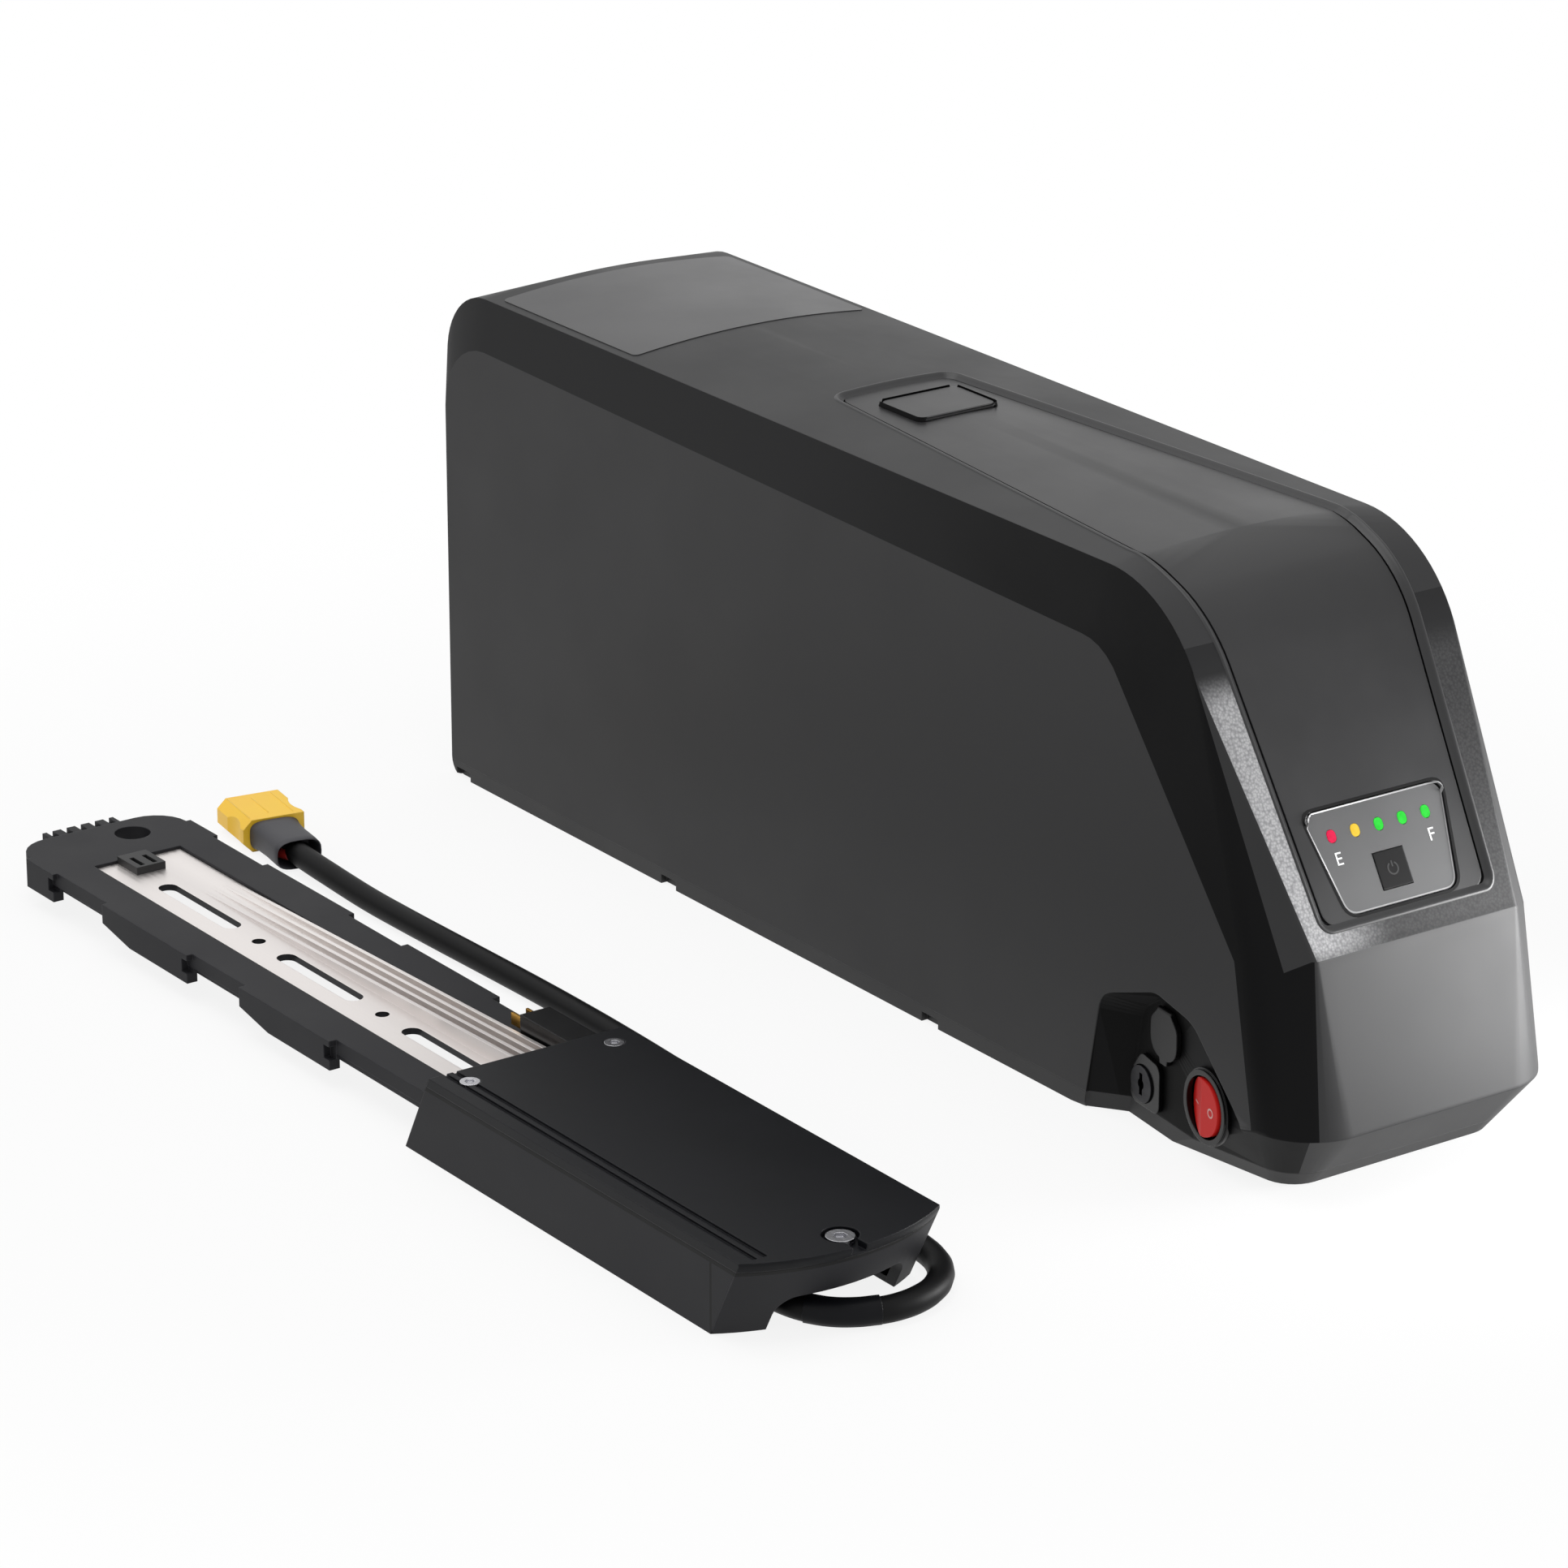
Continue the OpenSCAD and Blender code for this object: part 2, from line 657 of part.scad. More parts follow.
charge_flange_t = 1.8;
module charge_socket() {
    color("#202022") difference() {
        union() {
            pocket_rod(charge_u, charge_v, charge_body_d / 2, 0,
                charge_bore_depth + 2 * charge_flange_t, $fn = 64);
            pocket_rod(charge_u, charge_v, charge_body_d * 0.72, case_wall + slip / 3,
                case_wall + charge_flange_t, $fn = 48);
        }
        pocket_rod(charge_u, charge_v, charge_bore_d / 2, -over, charge_bore_depth, $fn = 64);
    }
}
charge_pin_d = 2;
module charge_pin() {
    color("#c8c8cc") pocket_rod(charge_u, charge_v, charge_pin_d / 2,
        charge_bore_depth * 0.35, charge_bore_depth, $fn = 32);
}

// The rubber cap over the charge socket, hinged along its upper edge.
cap_t = 1.6;
cap_w = 14;
cap_drop = 7;
cap_top = 7.2;
cap_boss_l = 2;
module port_cap() {
    color("#161617") {
        in_pocket(charge_u, charge_v) side_plate(rounded(
            [[-cap_w / 2, -cap_drop], [cap_w / 2, -cap_drop], [cap_w / 2, cap_top / 2],
            [cap_w / 4, cap_top], [-cap_w / 4, cap_top], [-cap_w / 2, cap_top / 2]],
            [cap_w * 0.4, cap_w * 0.4, cap_w / 4, 0, 0, cap_w / 4]),
            -cap_t - run_gap, -run_gap);
        in_pocket(charge_u, charge_v) translate([-cap_w / 4, -cap_t / 2 - run_gap, cap_top])
            rotate([0, 90, 0]) cylinder(d = cap_t, h = cap_w / 2, $fn = 32);
        in_pocket(charge_u, charge_v) side_plate(
            [[-cap_w / 8, -cap_drop - cap_t], [cap_w / 8, -cap_drop - cap_t],
            [cap_w / 6, -cap_drop + cap_t], [-cap_w / 6, -cap_drop + cap_t]], -cap_t - run_gap, -run_gap);
        pocket_rod(charge_u, charge_v, charge_bore_d * 0.42, -cap_t, cap_boss_l, $fn = 48);
    }
}

lock_plate_t = 1.6;
lock_plate_w = 16;
lock_plate_h = 16;
module lock_plate() {
    color("#1c1c1e") difference() {
        in_pocket(lock_u, lock_v) side_plate(rounded(
            [[-lock_plate_w * 0.44, -lock_plate_h * 0.42], [lock_plate_w * 0.56, -lock_plate_h * 0.42],
            [lock_plate_w * 0.56, lock_plate_h / 2], [-lock_plate_w * 0.06, lock_plate_h * 0.58],
            [-lock_plate_w * 0.32, lock_plate_h / 4]],
            [edge_r, edge_r, edge_r, edge_r, edge_r]), -lock_plate_t, 0);
        pocket_rod(lock_u, lock_v, barrel_d / 2 + run_gap, -lock_plate_t - over, over, $fn = 64);
    }
}

// The barrel turns in the pocket's floor, and its pin carries the bolt along.
pin_r = 1.5;
pin_l = 6;
barrel_head = 0.6;
module lock_barrel() {
    color("#8f9296") difference() {
        union() {
            pocket_rod(lock_u, lock_v, barrel_d / 2, -lock_plate_t - barrel_head,
                barrel_l - barrel_head, $fn = 64);
            pocket_rod(lock_u, lock_v, barrel_d / 2 + barrel_head, case_wall + run_gap,
                case_wall + 3 * barrel_head, $fn = 64);
            pocket_rod(lock_u - bolt_travel / 2, lock_v + bolt_travel / 2, pin_r,
                barrel_l - 2 * barrel_head, barrel_l + pin_l, $fn = 32);
        }
        in_pocket(lock_u, lock_v) translate([-barrel_d / 14, -lock_plate_t - barrel_head - over,
            -barrel_d * 0.3])
            cube([barrel_d / 7, barrel_d / 2, barrel_d * 0.6]);
        pocket_rod(lock_u, lock_v, barrel_d / 7, -lock_plate_t - barrel_head - over, barrel_d / 3, $fn = 32);
    }
}

// The bolt slides along X through the channel's end wall.
bolt_w = 14;
bolt_h = 4.4;
bolt_z = 5.6;
arm_l = 11;
arm_top = 21;
pin_x = pocket_x + (lock_u - bolt_travel / 2) * cos(pocket_angle) + (barrel_l
    + pin_l / 2) * sin(pocket_angle);
pin_y = -case_half + pocket_depth - (lock_u - bolt_travel / 2) * sin(pocket_angle)
    + (barrel_l + pin_l / 2) * cos(pocket_angle);
module latch_bolt() {
    color("#a4a7ab") difference() {
        union() {
            translate([channel_l - bolt_travel, -bolt_w / 2, bolt_z])
                cube([pin_x + arm_l / 2 - channel_l + bolt_travel, bolt_w, bolt_h]);
            translate([pin_x, pin_y / 2, bolt_z]) block(arm_l, -pin_y + pin_l * 0.4, arm_top - bolt_z);
        }
        translate([pin_x, pin_y - pin_l / 2, lock_v])
            block(2 * (pin_r + 4 * run_gap), 3 * pin_l, bolt_travel + pin_r);
    }
}

guide_t = 2.4;
guide_l = 14;
module latch_guide() {
    color("#2a2a2c") difference() {
        translate([channel_l + channel_wall + guide_l / 2, 0, plate_floor_t])
            block(guide_l, bolt_w + 2 * guide_t, bolt_z + bolt_h + guide_t - plate_floor_t);
        translate([channel_l + channel_wall + guide_l / 2, 0, bolt_z - run_gap])
            block(guide_l + 2 * over, bolt_w + 2 * run_gap, bolt_h + 2 * run_gap);
    }
}

switch_depth = 18;
bezel_t = 2;
rocker_gap = 0.7;
well_depth = 5;
ridge_r = 0.5;
rocker_pivot = 1;
rocker_back = 2.4;
rocker_front = 3.6;
module switch_frame() {
    color("#18181a") difference() {
        union() {
            pocket_rod(switch_u, switch_v, switch_d / 2 - bezel_t / 4, -bezel_t, 0, $fn = 80);
            pocket_rod(switch_u, switch_v, switch_d / 2, -bezel_t * 0.6, 0, $fn = 80);
            pocket_rod(switch_u, switch_v, switch_body_d / 2, 0, switch_depth, $fn = 64);
        }
        difference() {
            pocket_rod(switch_u, switch_v, rocker_d / 2 + rocker_gap, -bezel_t - over, well_depth, $fn = 64);
            in_pocket(switch_u, switch_v)
                translate([0, rocker_pivot + rocker_back + run_gap + ridge_r, -rocker_d / 4])
                cylinder(r = ridge_r, h = rocker_d / 2, $fn = 24);
            in_pocket(switch_u, switch_v)
                translate([-ridge_r, rocker_pivot + rocker_back + run_gap + ridge_r, -rocker_d / 4])
                cube([2 * ridge_r, well_depth, rocker_d / 2]);
        }
    }
}

module switch_rocker() {
    in_pocket(switch_u, switch_v) translate([0, rocker_pivot, 0]) rotate([0, 0, -rocker_tilt])
        color("#c01f1f") difference() {
            translate([0, rocker_back, 0]) rotate([90, 0, 0])
                cylinder(d = rocker_d, h = rocker_back + rocker_front, $fn = 64);
            for (side = [0, 1]) mirror([side, 0, 0]) translate([0, -rocker_front, -rocker_d])
                rotate([0, 0, rocker_tilt]) translate([0, -rocker_d, 0]) cube([rocker_d, rocker_d,
                2 * rocker_d]);
        }
}

spade_w = 4.8;
spade_t = 0.8;
spade_l = 7;
module switch_terminals() {
    color("#c9a24a") for (side = [-1, 1])
        in_pocket(switch_u, switch_v) translate([side * spade_w, switch_depth + spade_l / 2, -spade_w / 2])
            block(spade_t, spade_l, spade_w);
}

// Cells lie across the case in a square grid between two holders.
holder_x = 9;
holder_rim = 1.5;
board_room = 26;
foam_min = 6;
foam_top = case_h - recess_depth - crown_rise / 2;
cell_cols = floor((pocket_x - pocket_spread - board_room - holder_x) / cell_pitch);
cell_rows = floor((foam_top - foam_min - shelf_z - 2 * holder_rim) / cell_pitch);
holder_l = cell_cols * cell_pitch + 2 * holder_rim;
holder_h = cell_rows * cell_pitch + 2 * holder_rim;
cup_depth = 9;
end_plate_t = 1;
module at_cells() {
    for (i = [0 : cell_cols - 1]) {
        for (j = [0 : cell_rows - 1])
            translate([holder_x + holder_rim + (i + 0.5) * cell_pitch, 0,
                shelf_z + holder_rim + (j + 0.5) * cell_pitch])
                rotate([90, 0, 0]) children();
    }
}
module cells() {
    color("#4d8f6a") at_cells() translate([0, 0, -cell_len / 2]) cylinder(d = cell_d, h = cell_len, $fn = 32);
}

module holder_slab(d) {
    difference() {
        translate([holder_x, shelf_z]) square([holder_l, holder_h]);
        for (i = [0 : cell_cols - 1]) {
            for (j = [0 : cell_rows - 1])
                translate([holder_x + holder_rim + (i + 0.5) * cell_pitch,
                    shelf_z + holder_rim + (j + 0.5) * cell_pitch])
                    circle(d = d, $fn = 32);
        }
    }
}
post_d = 5;
post_l = 3;
post_rise = [holder_h * 0.145, holder_h * 0.83];
module cell_holder(side) {
    color("#d9d6cc") {
        translate([0, side * (cell_len / 2 - cup_depth / 2) + cup_depth / 2, 0]) rotate([90, 0, 0])
            linear_extrude(cup_depth) holder_slab(cell_d + 2 * run_gap);
        translate([0, side * (cell_len / 2 + end_plate_t / 2) + end_plate_t / 2, 0]) rotate([90, 0, 0])
            linear_extrude(end_plate_t) holder_slab(cell_d * 0.7);
        for (rise = post_rise)
            translate([holder_x + holder_l, side * (cell_len - cup_depth) / 2, shelf_z + rise])
                rotate([0, 90, 0]) cylinder(d = post_d, h = post_l, $fn = 32);
    }
}
module cell_holder_left() { cell_holder(-1); }
module cell_holder_right() { cell_holder(1); }

// Nickel strips join the columns of cells in series, offset by one column between the sides.
strip_t = 0.3;
strip_gap = 1.4;
module strip_plate(first, count, side) {
    y = side * (cell_len / 2 + end_plate_t + strip_t / 2) + strip_t / 2;
    translate([0, y, 0]) rotate([90, 0, 0]) linear_extrude(strip_t)
        translate([holder_x + holder_rim + first * cell_pitch + strip_gap / 2,
        shelf_z + holder_rim + strip_gap])
        square([count * cell_pitch - strip_gap, cell_rows * cell_pitch - 2 * strip_gap]);
}
module strip_contacts(side) {
    at_cells() translate([0, 0, -side * (cell_len + end_plate_t) / 2 - end_plate_t / 2])
        cylinder(d = cell_d * 0.4, h = end_plate_t, $fn = 24);
}
module nickel_strips(side, offset) {
    color("#b9bcc0") {
        if (offset > 0) strip_plate(0, offset, side);
        for (i = [offset : 2 : cell_cols - 1]) strip_plate(i, min(2, cell_cols - i), side);
        strip_contacts(side);
    }
}
module nickel_strips_left() { nickel_strips(-1, 0); }
module nickel_strips_right() { nickel_strips(1, 1); }

// The board that protects and balances the cells stands at their front end.
bms_x = holder_x + holder_l + post_l;
bms_w = 76;
bms_lift = 9;
bms_h = holder_h * 0.82;
bms_z = shelf_z + bms_lift;
module bms_board() {
    color("#17472f") difference() {
        translate([bms_x + board_t / 2, 0, bms_z]) block(board_t, bms_w, bms_h);
        for (side = [-1, 1]) {
            for (rise = post_rise)
                translate([bms_x - over, side * (cell_len - cup_depth) / 2, shelf_z + rise])
                    rotate([0, 90, 0]) cylinder(d = post_d * 0.6, h = board_t + 2 * over, $fn = 32);
        }
    }
}
fet_w = 9;
fet_t = 3;
fet_h = 8;
module bms_mosfets() {
    color("#202022") for (i = [-2.5 : 1 : 2.5])
        translate([bms_x + board_t + fet_t / 2, i * (fet_w + fet_t), bms_z + bms_h * 0.66])
            block(fet_t, fet_w, fet_h);
    color("#e8e4da") translate([bms_x + board_t + lead_d, socket_y, bms_z + lead_d])
        block(2 * lead_d, lead_gap + 2 * lead_d, 2 * lead_d);
}
sink_fins = 5;
module bms_heatsink() {
    color("#9b9ea3") {
        translate([bms_x + board_t + fet_t * 1.4, 0, bms_z + bms_h * 0.64])
            block(fet_t * 0.8, bms_w * 0.92, bms_h * 0.15);
        for (i = [0 : sink_fins - 1])
            translate([bms_x + board_t + fet_t * 2.8, 0, bms_z + bms_h * (0.64 + 0.03 * i)])
                block(fet_t * 2, bms_w * 0.92, fet_t * 0.4);
    }
}

// The socket under the channel's ceiling takes the base's two blades.
socket_l = 20;
socket_w = 12;
term_l = 14;
term_w = 10;
term_h = 8.6;
term_y = plate_w / 2 + term_w / 2 + slip;
blade_h = 3.6;
blade_out = 8;
blade_z = rail_z + (term_h - blade_h) / 2;
contact_gap = 0.4;
socket_y = -term_y;
socket_drop = channel_h - blade_z + 2 * contact_gap + spade_t;
neck_l = 10;
neck_x = tall_l + channel_wall + socket_l - neck_l / 2;
lead_gap = term_w / 2;
lead_d = 4;
lead_z = channel_h + channel_wall + lead_d / 2 + contact_gap;
module discharge_socket() {
    color("#28282a") difference() {
        union() {
            translate([tall_l + channel_wall + socket_l / 2, socket_y, channel_h - socket_drop])
                block(socket_l, socket_w, socket_drop);
            translate([neck_x, socket_y, channel_h]) block(neck_l, socket_w, shelf_z - channel_h - slip);
        }
        for (side = [-1, 1])
            translate([tall_l + socket_l / 2, socket_y + side * lead_gap / 2, blade_z - contact_gap])
                block(socket_l, 2 * spade_t + 2 * contact_gap, blade_h + 2 * contact_gap);
    }
}
module socket_contacts() {
    color("#c9a24a") for (side = [-1, 1])
        translate([tall_l + channel_wall + socket_l / 3, socket_y + side * (lead_gap / 2 - spade_t),
            blade_z - contact_gap])
            translate([0, -side * (contact_gap - spade_t / 2), 0])
                block(socket_l * 0.4, spade_t, blade_h + 2 * contact_gap);
}

// Two leads run from the socket through the shelves and up to the board.
lead_bend_r = 6;
module power_lead(y) {
    start = neck_x + neck_l / 2;
    turn_x = bms_x + board_t + lead_d - lead_bend_r;
    translate([start, y, lead_z]) rotate([0, 90, 0]) cylinder(d = lead_d, h = turn_x - start, $fn = 24);
    translate([turn_x, y, lead_z + lead_bend_r]) rotate([90, 0, 0]) rotate([0, 0, -90])
        rotate_extrude(angle = 90, $fn = 48) translate([lead_bend_r, 0]) circle(d = lead_d, $fn = 24);
    translate([turn_x + lead_bend_r, y, lead_z + lead_bend_r])
        cylinder(d = lead_d, h = bms_z + lead_d - lead_z - lead_bend_r, $fn = 24);
}
module power_leads() {
    color("#b02020") power_lead(socket_y + lead_gap / 2);
    color("#1c1c1c") power_lead(socket_y - lead_gap / 2);
}

foam_w = 60;
module foam_pad() {
    color("#3d3d40") translate([holder_x + holder_l / 2, 0, shelf_z + holder_h])
        block(holder_l * 0.86, foam_w, foam_top - shelf_z - holder_h);
}

// The controller box's slanted body, drawn in by d on every side.
wall_t = 2;
lid_t = 3;
lean_share = box_lean / box_h;
module box_prism(d) {
    reach = box_h * 2;
    side_plate([[box_start + d - reach * lean_share, -reach],
        [box_start + box_l - d - reach * lean_share, -reach],
        [box_start + box_l - d + reach * lean_share, reach], [box_start + d + reach * lean_share, reach]],
        -base_w / 2 + d, base_w / 2 - d);
}
module slab(z0, z1) {
    translate([0, -base_w, z0]) cube([case_l * 2, 2 * base_w, z1 - z0]);
}

// The curved front of the box, from the end of its straight sides.
front_r = (pow(base_w / 2, 2) + pow(cap_bulge, 2)) / (2 * cap_bulge);
module cap_outline() {
    half_turn = asin(base_w / 2 / front_r);
    steps = 10;
    polygon(concat([[-lid_t, base_w / 2], [-lid_t, -base_w / 2]],
        [for (i = [-steps : steps]) [cap_bulge - front_r + front_r * cos(half_turn * i / steps),
            front_r * sin(half_turn * i / steps)]]));
}
module cap_form() {
    hull() {
        translate([box_start + box_l, 0, 0]) linear_extrude(disc_h) cap_outline();
        translate([box_start + box_l + box_lean, 0, box_h - disc_h]) linear_extrude(disc_h) cap_outline();
    }
}

// Shared places on the rail, measured from the rail's middle line.
window_half = plate_w / 2;
ledge = 3;
tray_t = 3;
ledge_t = 1.5;
hook_out = 3;
skirt_half = rail_w / 2 - hook_out;
first_hook = 28;
hook_end = rail_start + first_hook;
hook_l = 34;
hook_ramp = 16;
hole_in = 11;
hole_x = rail_start + hole_in;
hole_y = 8.7;
comb_l = 8;
comb_w = 25;
plate_x = rail_start + plate_setback;
plate_tuck = 4;
plate_end = box_start + plate_tuck;
slot_offset = -4.5;
first_slot = 45;
slot_x = plate_x + first_slot;

rear_r = rail_w / 5;
hook_x0 = rail_start + rear_r;
module rail_hook(i, side) {
    x = hook_end + i * hook_pitch;
    ramp = x - hook_l > hook_x0 ? [[x - hook_l - hook_ramp, rail_z], [x - hook_l - hook_ramp,
        rail_z - 2 * tray_t]]
        : [[hook_x0, rail_z]];
    pts = concat([[max(x - hook_l, hook_x0), hook_z], [x, hook_z], [x, rail_z]], ramp);
    y0 = side > 0 ? skirt_half - over / 2 : -rail_w / 2;
    difference() {
        side_plate(pts, y0, y0 + rail_w / 2 - skirt_half + over / 2);
        translate([x, side * rail_w / 2, hook_z + tray_t]) block(2 * tray_t, tray_t * 1.6, tray_t * 1.4);
    }
}
module rail_tray() {
    tray_end = box_start + 2 * box_lean;
    skirt_z = hook_z + tray_t;
    color("#39393b") translate([0, base_y, 0]) difference() {
        union() {
            translate([0, 0, rail_z - tray_t - ledge_t]) linear_extrude(tray_t + ledge_t) polygon(rounded(
                [[rail_start, -skirt_half - ledge / 2], [tray_end, -skirt_half], [tray_end, skirt_half],
                [rail_start, skirt_half + ledge / 2]], [rear_r, 0, 0, rear_r]));
            for (side = [-1, 1]) {
                translate([hook_x0, side * (skirt_half - wall_t / 2) - wall_t / 2, skirt_z])
                    cube([tray_end - hook_x0, wall_t, rail_z - skirt_z]);
                for (i = [0 : 2]) rail_hook(i, side);
            }
            translate([rail_start - comb_l, -comb_w / 2, rail_z - tray_t * 1.5])
                cube([comb_l + rear_r, comb_w, tray_t]);
            for (x = [rail_start + tray_t, plate_x - 2 * tray_t])
                translate([x, rear_r / 2 - skirt_half, hook_z])
                    cube([wall_t, 2 * skirt_half - rear_r, rail_z - hook_z - over]);
        }
        translate([plate_x, -window_half - run_gap, rail_z - tray_t])
            cube([tray_end, plate_w + 2 * run_gap, tray_t + over]);
        translate([plate_x + ledge, -window_half + ledge, -over]) cube([tray_end, plate_w - 2 * ledge,
            box_h]);
        translate([hole_x, hole_y, -over]) cylinder(d = rail_hole_d, h = box_h, $fn = 48);
        for (i = [0 : 4])
            translate([rail_start - comb_l + comb_l / 4, (i - 2) * comb_w / 5, rail_z - tray_t])
                block(comb_l, comb_w / 12, tray_t);
        box_prism(0);
    }
}

fin_h = 5;
fin_count = 4;
module rail_plate() {
    color("#c9cacc") translate([0, base_y, 0]) difference() {
        union() {
            translate([plate_x, -window_half, rail_z - tray_t]) cube([plate_end - plate_x, plate_w, plate_t]);
            for (i = [0 : fin_count - 1]) translate([0, window_half * (0.2 + 0.24 * i), 0])
                side_plate([[plate_x + fin_h * 5, rail_z - tray_t + plate_t - over / 4],
                    [plate_end, rail_z - tray_t + plate_t - over / 4],
                    [plate_end, rail_z - tray_t + plate_t + fin_h]], -plate_t / 3, plate_t / 3);
        }
        for (i = [0 : 2]) translate([slot_x + i * slot_pitch, slot_offset, 0]) {
            for (end = [-1, 1]) translate([end * (slot_l - slot_w) / 2, 0, 0])
                cylinder(d = slot_w, h = box_h, $fn = 48);
            block(slot_l - slot_w, slot_w, box_h);
        }
        for (i = [0 : 1]) translate([slot_x + (i + 0.5) * slot_pitch, slot_offset, 0])
            cylinder(d = slot_w * 0.7, h = box_h, $fn = 32);
    }
}

keeper_l = 12;
keeper_w = 10;
keeper_h = 2.4;
module keeper_tab() {
    color("#1d1d1f") translate([plate_x + keeper_l / 2, base_y - keeper_w * 0.2, rail_z - tray_t + plate_t])
        difference() {
            block(keeper_l, keeper_w, keeper_h);
            for (side = [-1, 1]) translate([keeper_l * 0.1, side * keeper_w * 0.22, keeper_h * 0.3])
                block(keeper_l * 0.6, keeper_w * 0.16, keeper_h);
        }
}

module terminal_block() {
    color("#202023") translate([0, base_y, 0]) difference() {
        translate([box_start, term_y, rail_z]) block(2 * term_l, term_w, term_h);
        for (side = [-1, 1]) translate([box_start - term_l, term_y + side * term_w / 4,
            blade_z - contact_gap])
            block(term_l, spade_t + 2 * contact_gap, blade_h + 2 * contact_gap);
        box_prism(0);
    }
}
module terminal_blades() {
    color("#c9a24a") for (side = [-1, 1])
        translate([box_start - term_l / 2 - (term_l / 2 + blade_out) / 2,
            base_y + term_y + side * term_w / 4, blade_z])
            block(term_l / 2 + blade_out, spade_t, blade_h);
}

bay_l = 14;
case_top = box_h - lid_t;
standoff_h = 4;
cable_y = -11.5;
cable_z = 5;
gland_l = 8;
gland_r = 5.4;
arch_h = 11;
arch_y0 = -19;
arch_y1 = 24;
lid_screw_d = 3;
lid_screw_l = 8;
lid_head_d = 5.8;
lid_head_h = 1.6;
lid_screw_x = box_start + box_lean + lid_screw_l;
lid_screw_y = base_w * 0.37;
board_x = lid_screw_x + lid_head_d + wall_t / 2;
partition_x = box_start + box_l - bay_l;
board_l = partition_x - board_x - 3 * wall_t;
module controller_case() {
    color("#29292b") translate([0, base_y, 0]) difference() {
        union() {
            difference() {
                intersection() {
                    box_prism(0);
                    slab(0, case_top);
                }
                intersection() {
                    box_prism(wall_t);
                    slab(wall_t, box_h);
                }
            }
            intersection() {
                box_prism(wall_t / 2);
                translate([partition_x, 0, wall_t / 2]) block(wall_t, base_w, case_top - wall_t / 2);
            }
            for (side = [-1, 1]) {
                for (end = [0.1, 0.9])
                    translate([board_x + end * board_l, side * base_w * 0.36, wall_t / 2])
                        cylinder(r = standoff_h, h = standoff_h + wall_t / 2, $fn = 32);
                translate([lid_screw_x, side * lid_screw_y, wall_t / 2])
                    cylinder(d = lid_head_d + wall_t, h = case_top - wall_t / 2, $fn = 32);
            }
        }
        for (side = [-1, 1]) translate([lid_screw_x, side * lid_screw_y, case_top - lid_screw_l])
            cylinder(d = lid_screw_d + screw_fit, h = box_h, $fn = 32);
        translate([partition_x + wall_t / 2, -base_w / 2 + wall_t, wall_t])
            cube([bay_l * 2, base_w - 2 * wall_t, box_h]);
        translate([partition_x + wall_t / 2, arch_y0, -over]) cube([bay_l * 2, arch_y1 - arch_y0, arch_h]);
        translate([partition_x - over, cable_y, cable_z]) rotate([0, 90, 0])
            cylinder(r = cable_d / 2 + run_gap, h = 2 * bay_l, $fn = 48);
    }
}

module controller_board() {
    color("#17472f") translate([board_x + board_l / 2, base_y, wall_t + standoff_h])
        block(board_l, base_w * 0.84, board_t);
}
can_r = 5;
can_h = 11;
module capacitors() {
    color("#2a3550") for (i = [0 : 2])
        translate([board_x + board_l * (0.2 + 0.14 * i), base_y, wall_t + standoff_h + board_t])
            cylinder(r = can_r, h = can_h, $fn = 32);
}
module controller_mosfets() {
    color("#202022") for (i = [0 : 5])
        translate([board_x + board_l * (0.12 + 0.15 * i), base_y - base_w * 0.34,
        wall_t + standoff_h + board_t])
            block(fet_w, fet_t, fet_h * 1.3);
}

cap_screw_d = 4;
cap_head_d = 8;
tongue_w = 4.6;
cap_screw_x = box_start + box_l + box_lean;
groove_share = [0.38, 0.43];
module at_lid_screws() {
    for (side = [-1, 1]) translate([lid_screw_x, base_y + side * lid_screw_y, 0]) children();
}
module controller_lid() {
    color("#242426") difference() {
        translate([0, base_y, 0]) difference() {
            intersection() {
                union() {
                    box_prism(0);
                    cap_form();
                }
                slab(case_top, box_h);
            }
            for (share = groove_share)
                translate([box_start, -base_w * share, box_h - lid_t / 4]) cube([box_l + box_lean,
                lid_t / 2, lid_t]);
        }
        at_lid_screws() {
            cylinder(d = lid_screw_d + 2 * run_gap, h = box_h + over, $fn = 32);
            translate([0, 0, box_h - lid_head_h]) cylinder(d = lid_head_d + 2 * run_gap, h = box_h, $fn = 32);
        }
        translate([cap_screw_x, base_y, 0]) cylinder(d = cap_screw_d + 2 * run_gap, h = box_h + over,
            $fn = 32);
        translate([cap_screw_x, base_y, box_h - lid_t * 0.7]) cylinder(d = cap_head_d * 1.3, h = box_h,
            $fn = 32);
        translate([cap_screw_x, base_y - tongue_w / 2, box_h - lid_t * 0.7])
            cube([box_l, tongue_w, lid_t]);
    }
}
module lid_screws() {
    color("#c4c6c9") at_lid_screws() difference() {
        union() {
            translate([0, 0, box_h - lid_head_h]) cylinder(d = lid_head_d, h = lid_head_h, $fn = 32);
            translate([0, 0, case_top - lid_screw_l + slip])
                cylinder(d = lid_screw_d, h = lid_screw_l + lid_t / 2, $fn = 32);
        }
        translate([0, 0, box_h - lid_head_h / 2]) cylinder(d = lid_screw_d, h = lid_head_h, $fn = 6);
    }
}
module cap_screw() {
    color("#b9bbbe") translate([cap_screw_x, base_y, 0]) difference() {
        union() {
            translate([0, 0, box_h - lid_t * 0.7]) cylinder(d = cap_head_d, h = lid_t * 0.6, $fn = 48);
            translate([0, 0, case_top - lid_t]) cylinder(d = cap_screw_d, h = lid_t * 1.5, $fn = 32);
        }
        translate([0, 0, box_h - lid_t * 0.5]) cylinder(d = cap_screw_d, h = lid_t, $fn = 6);
    }
}

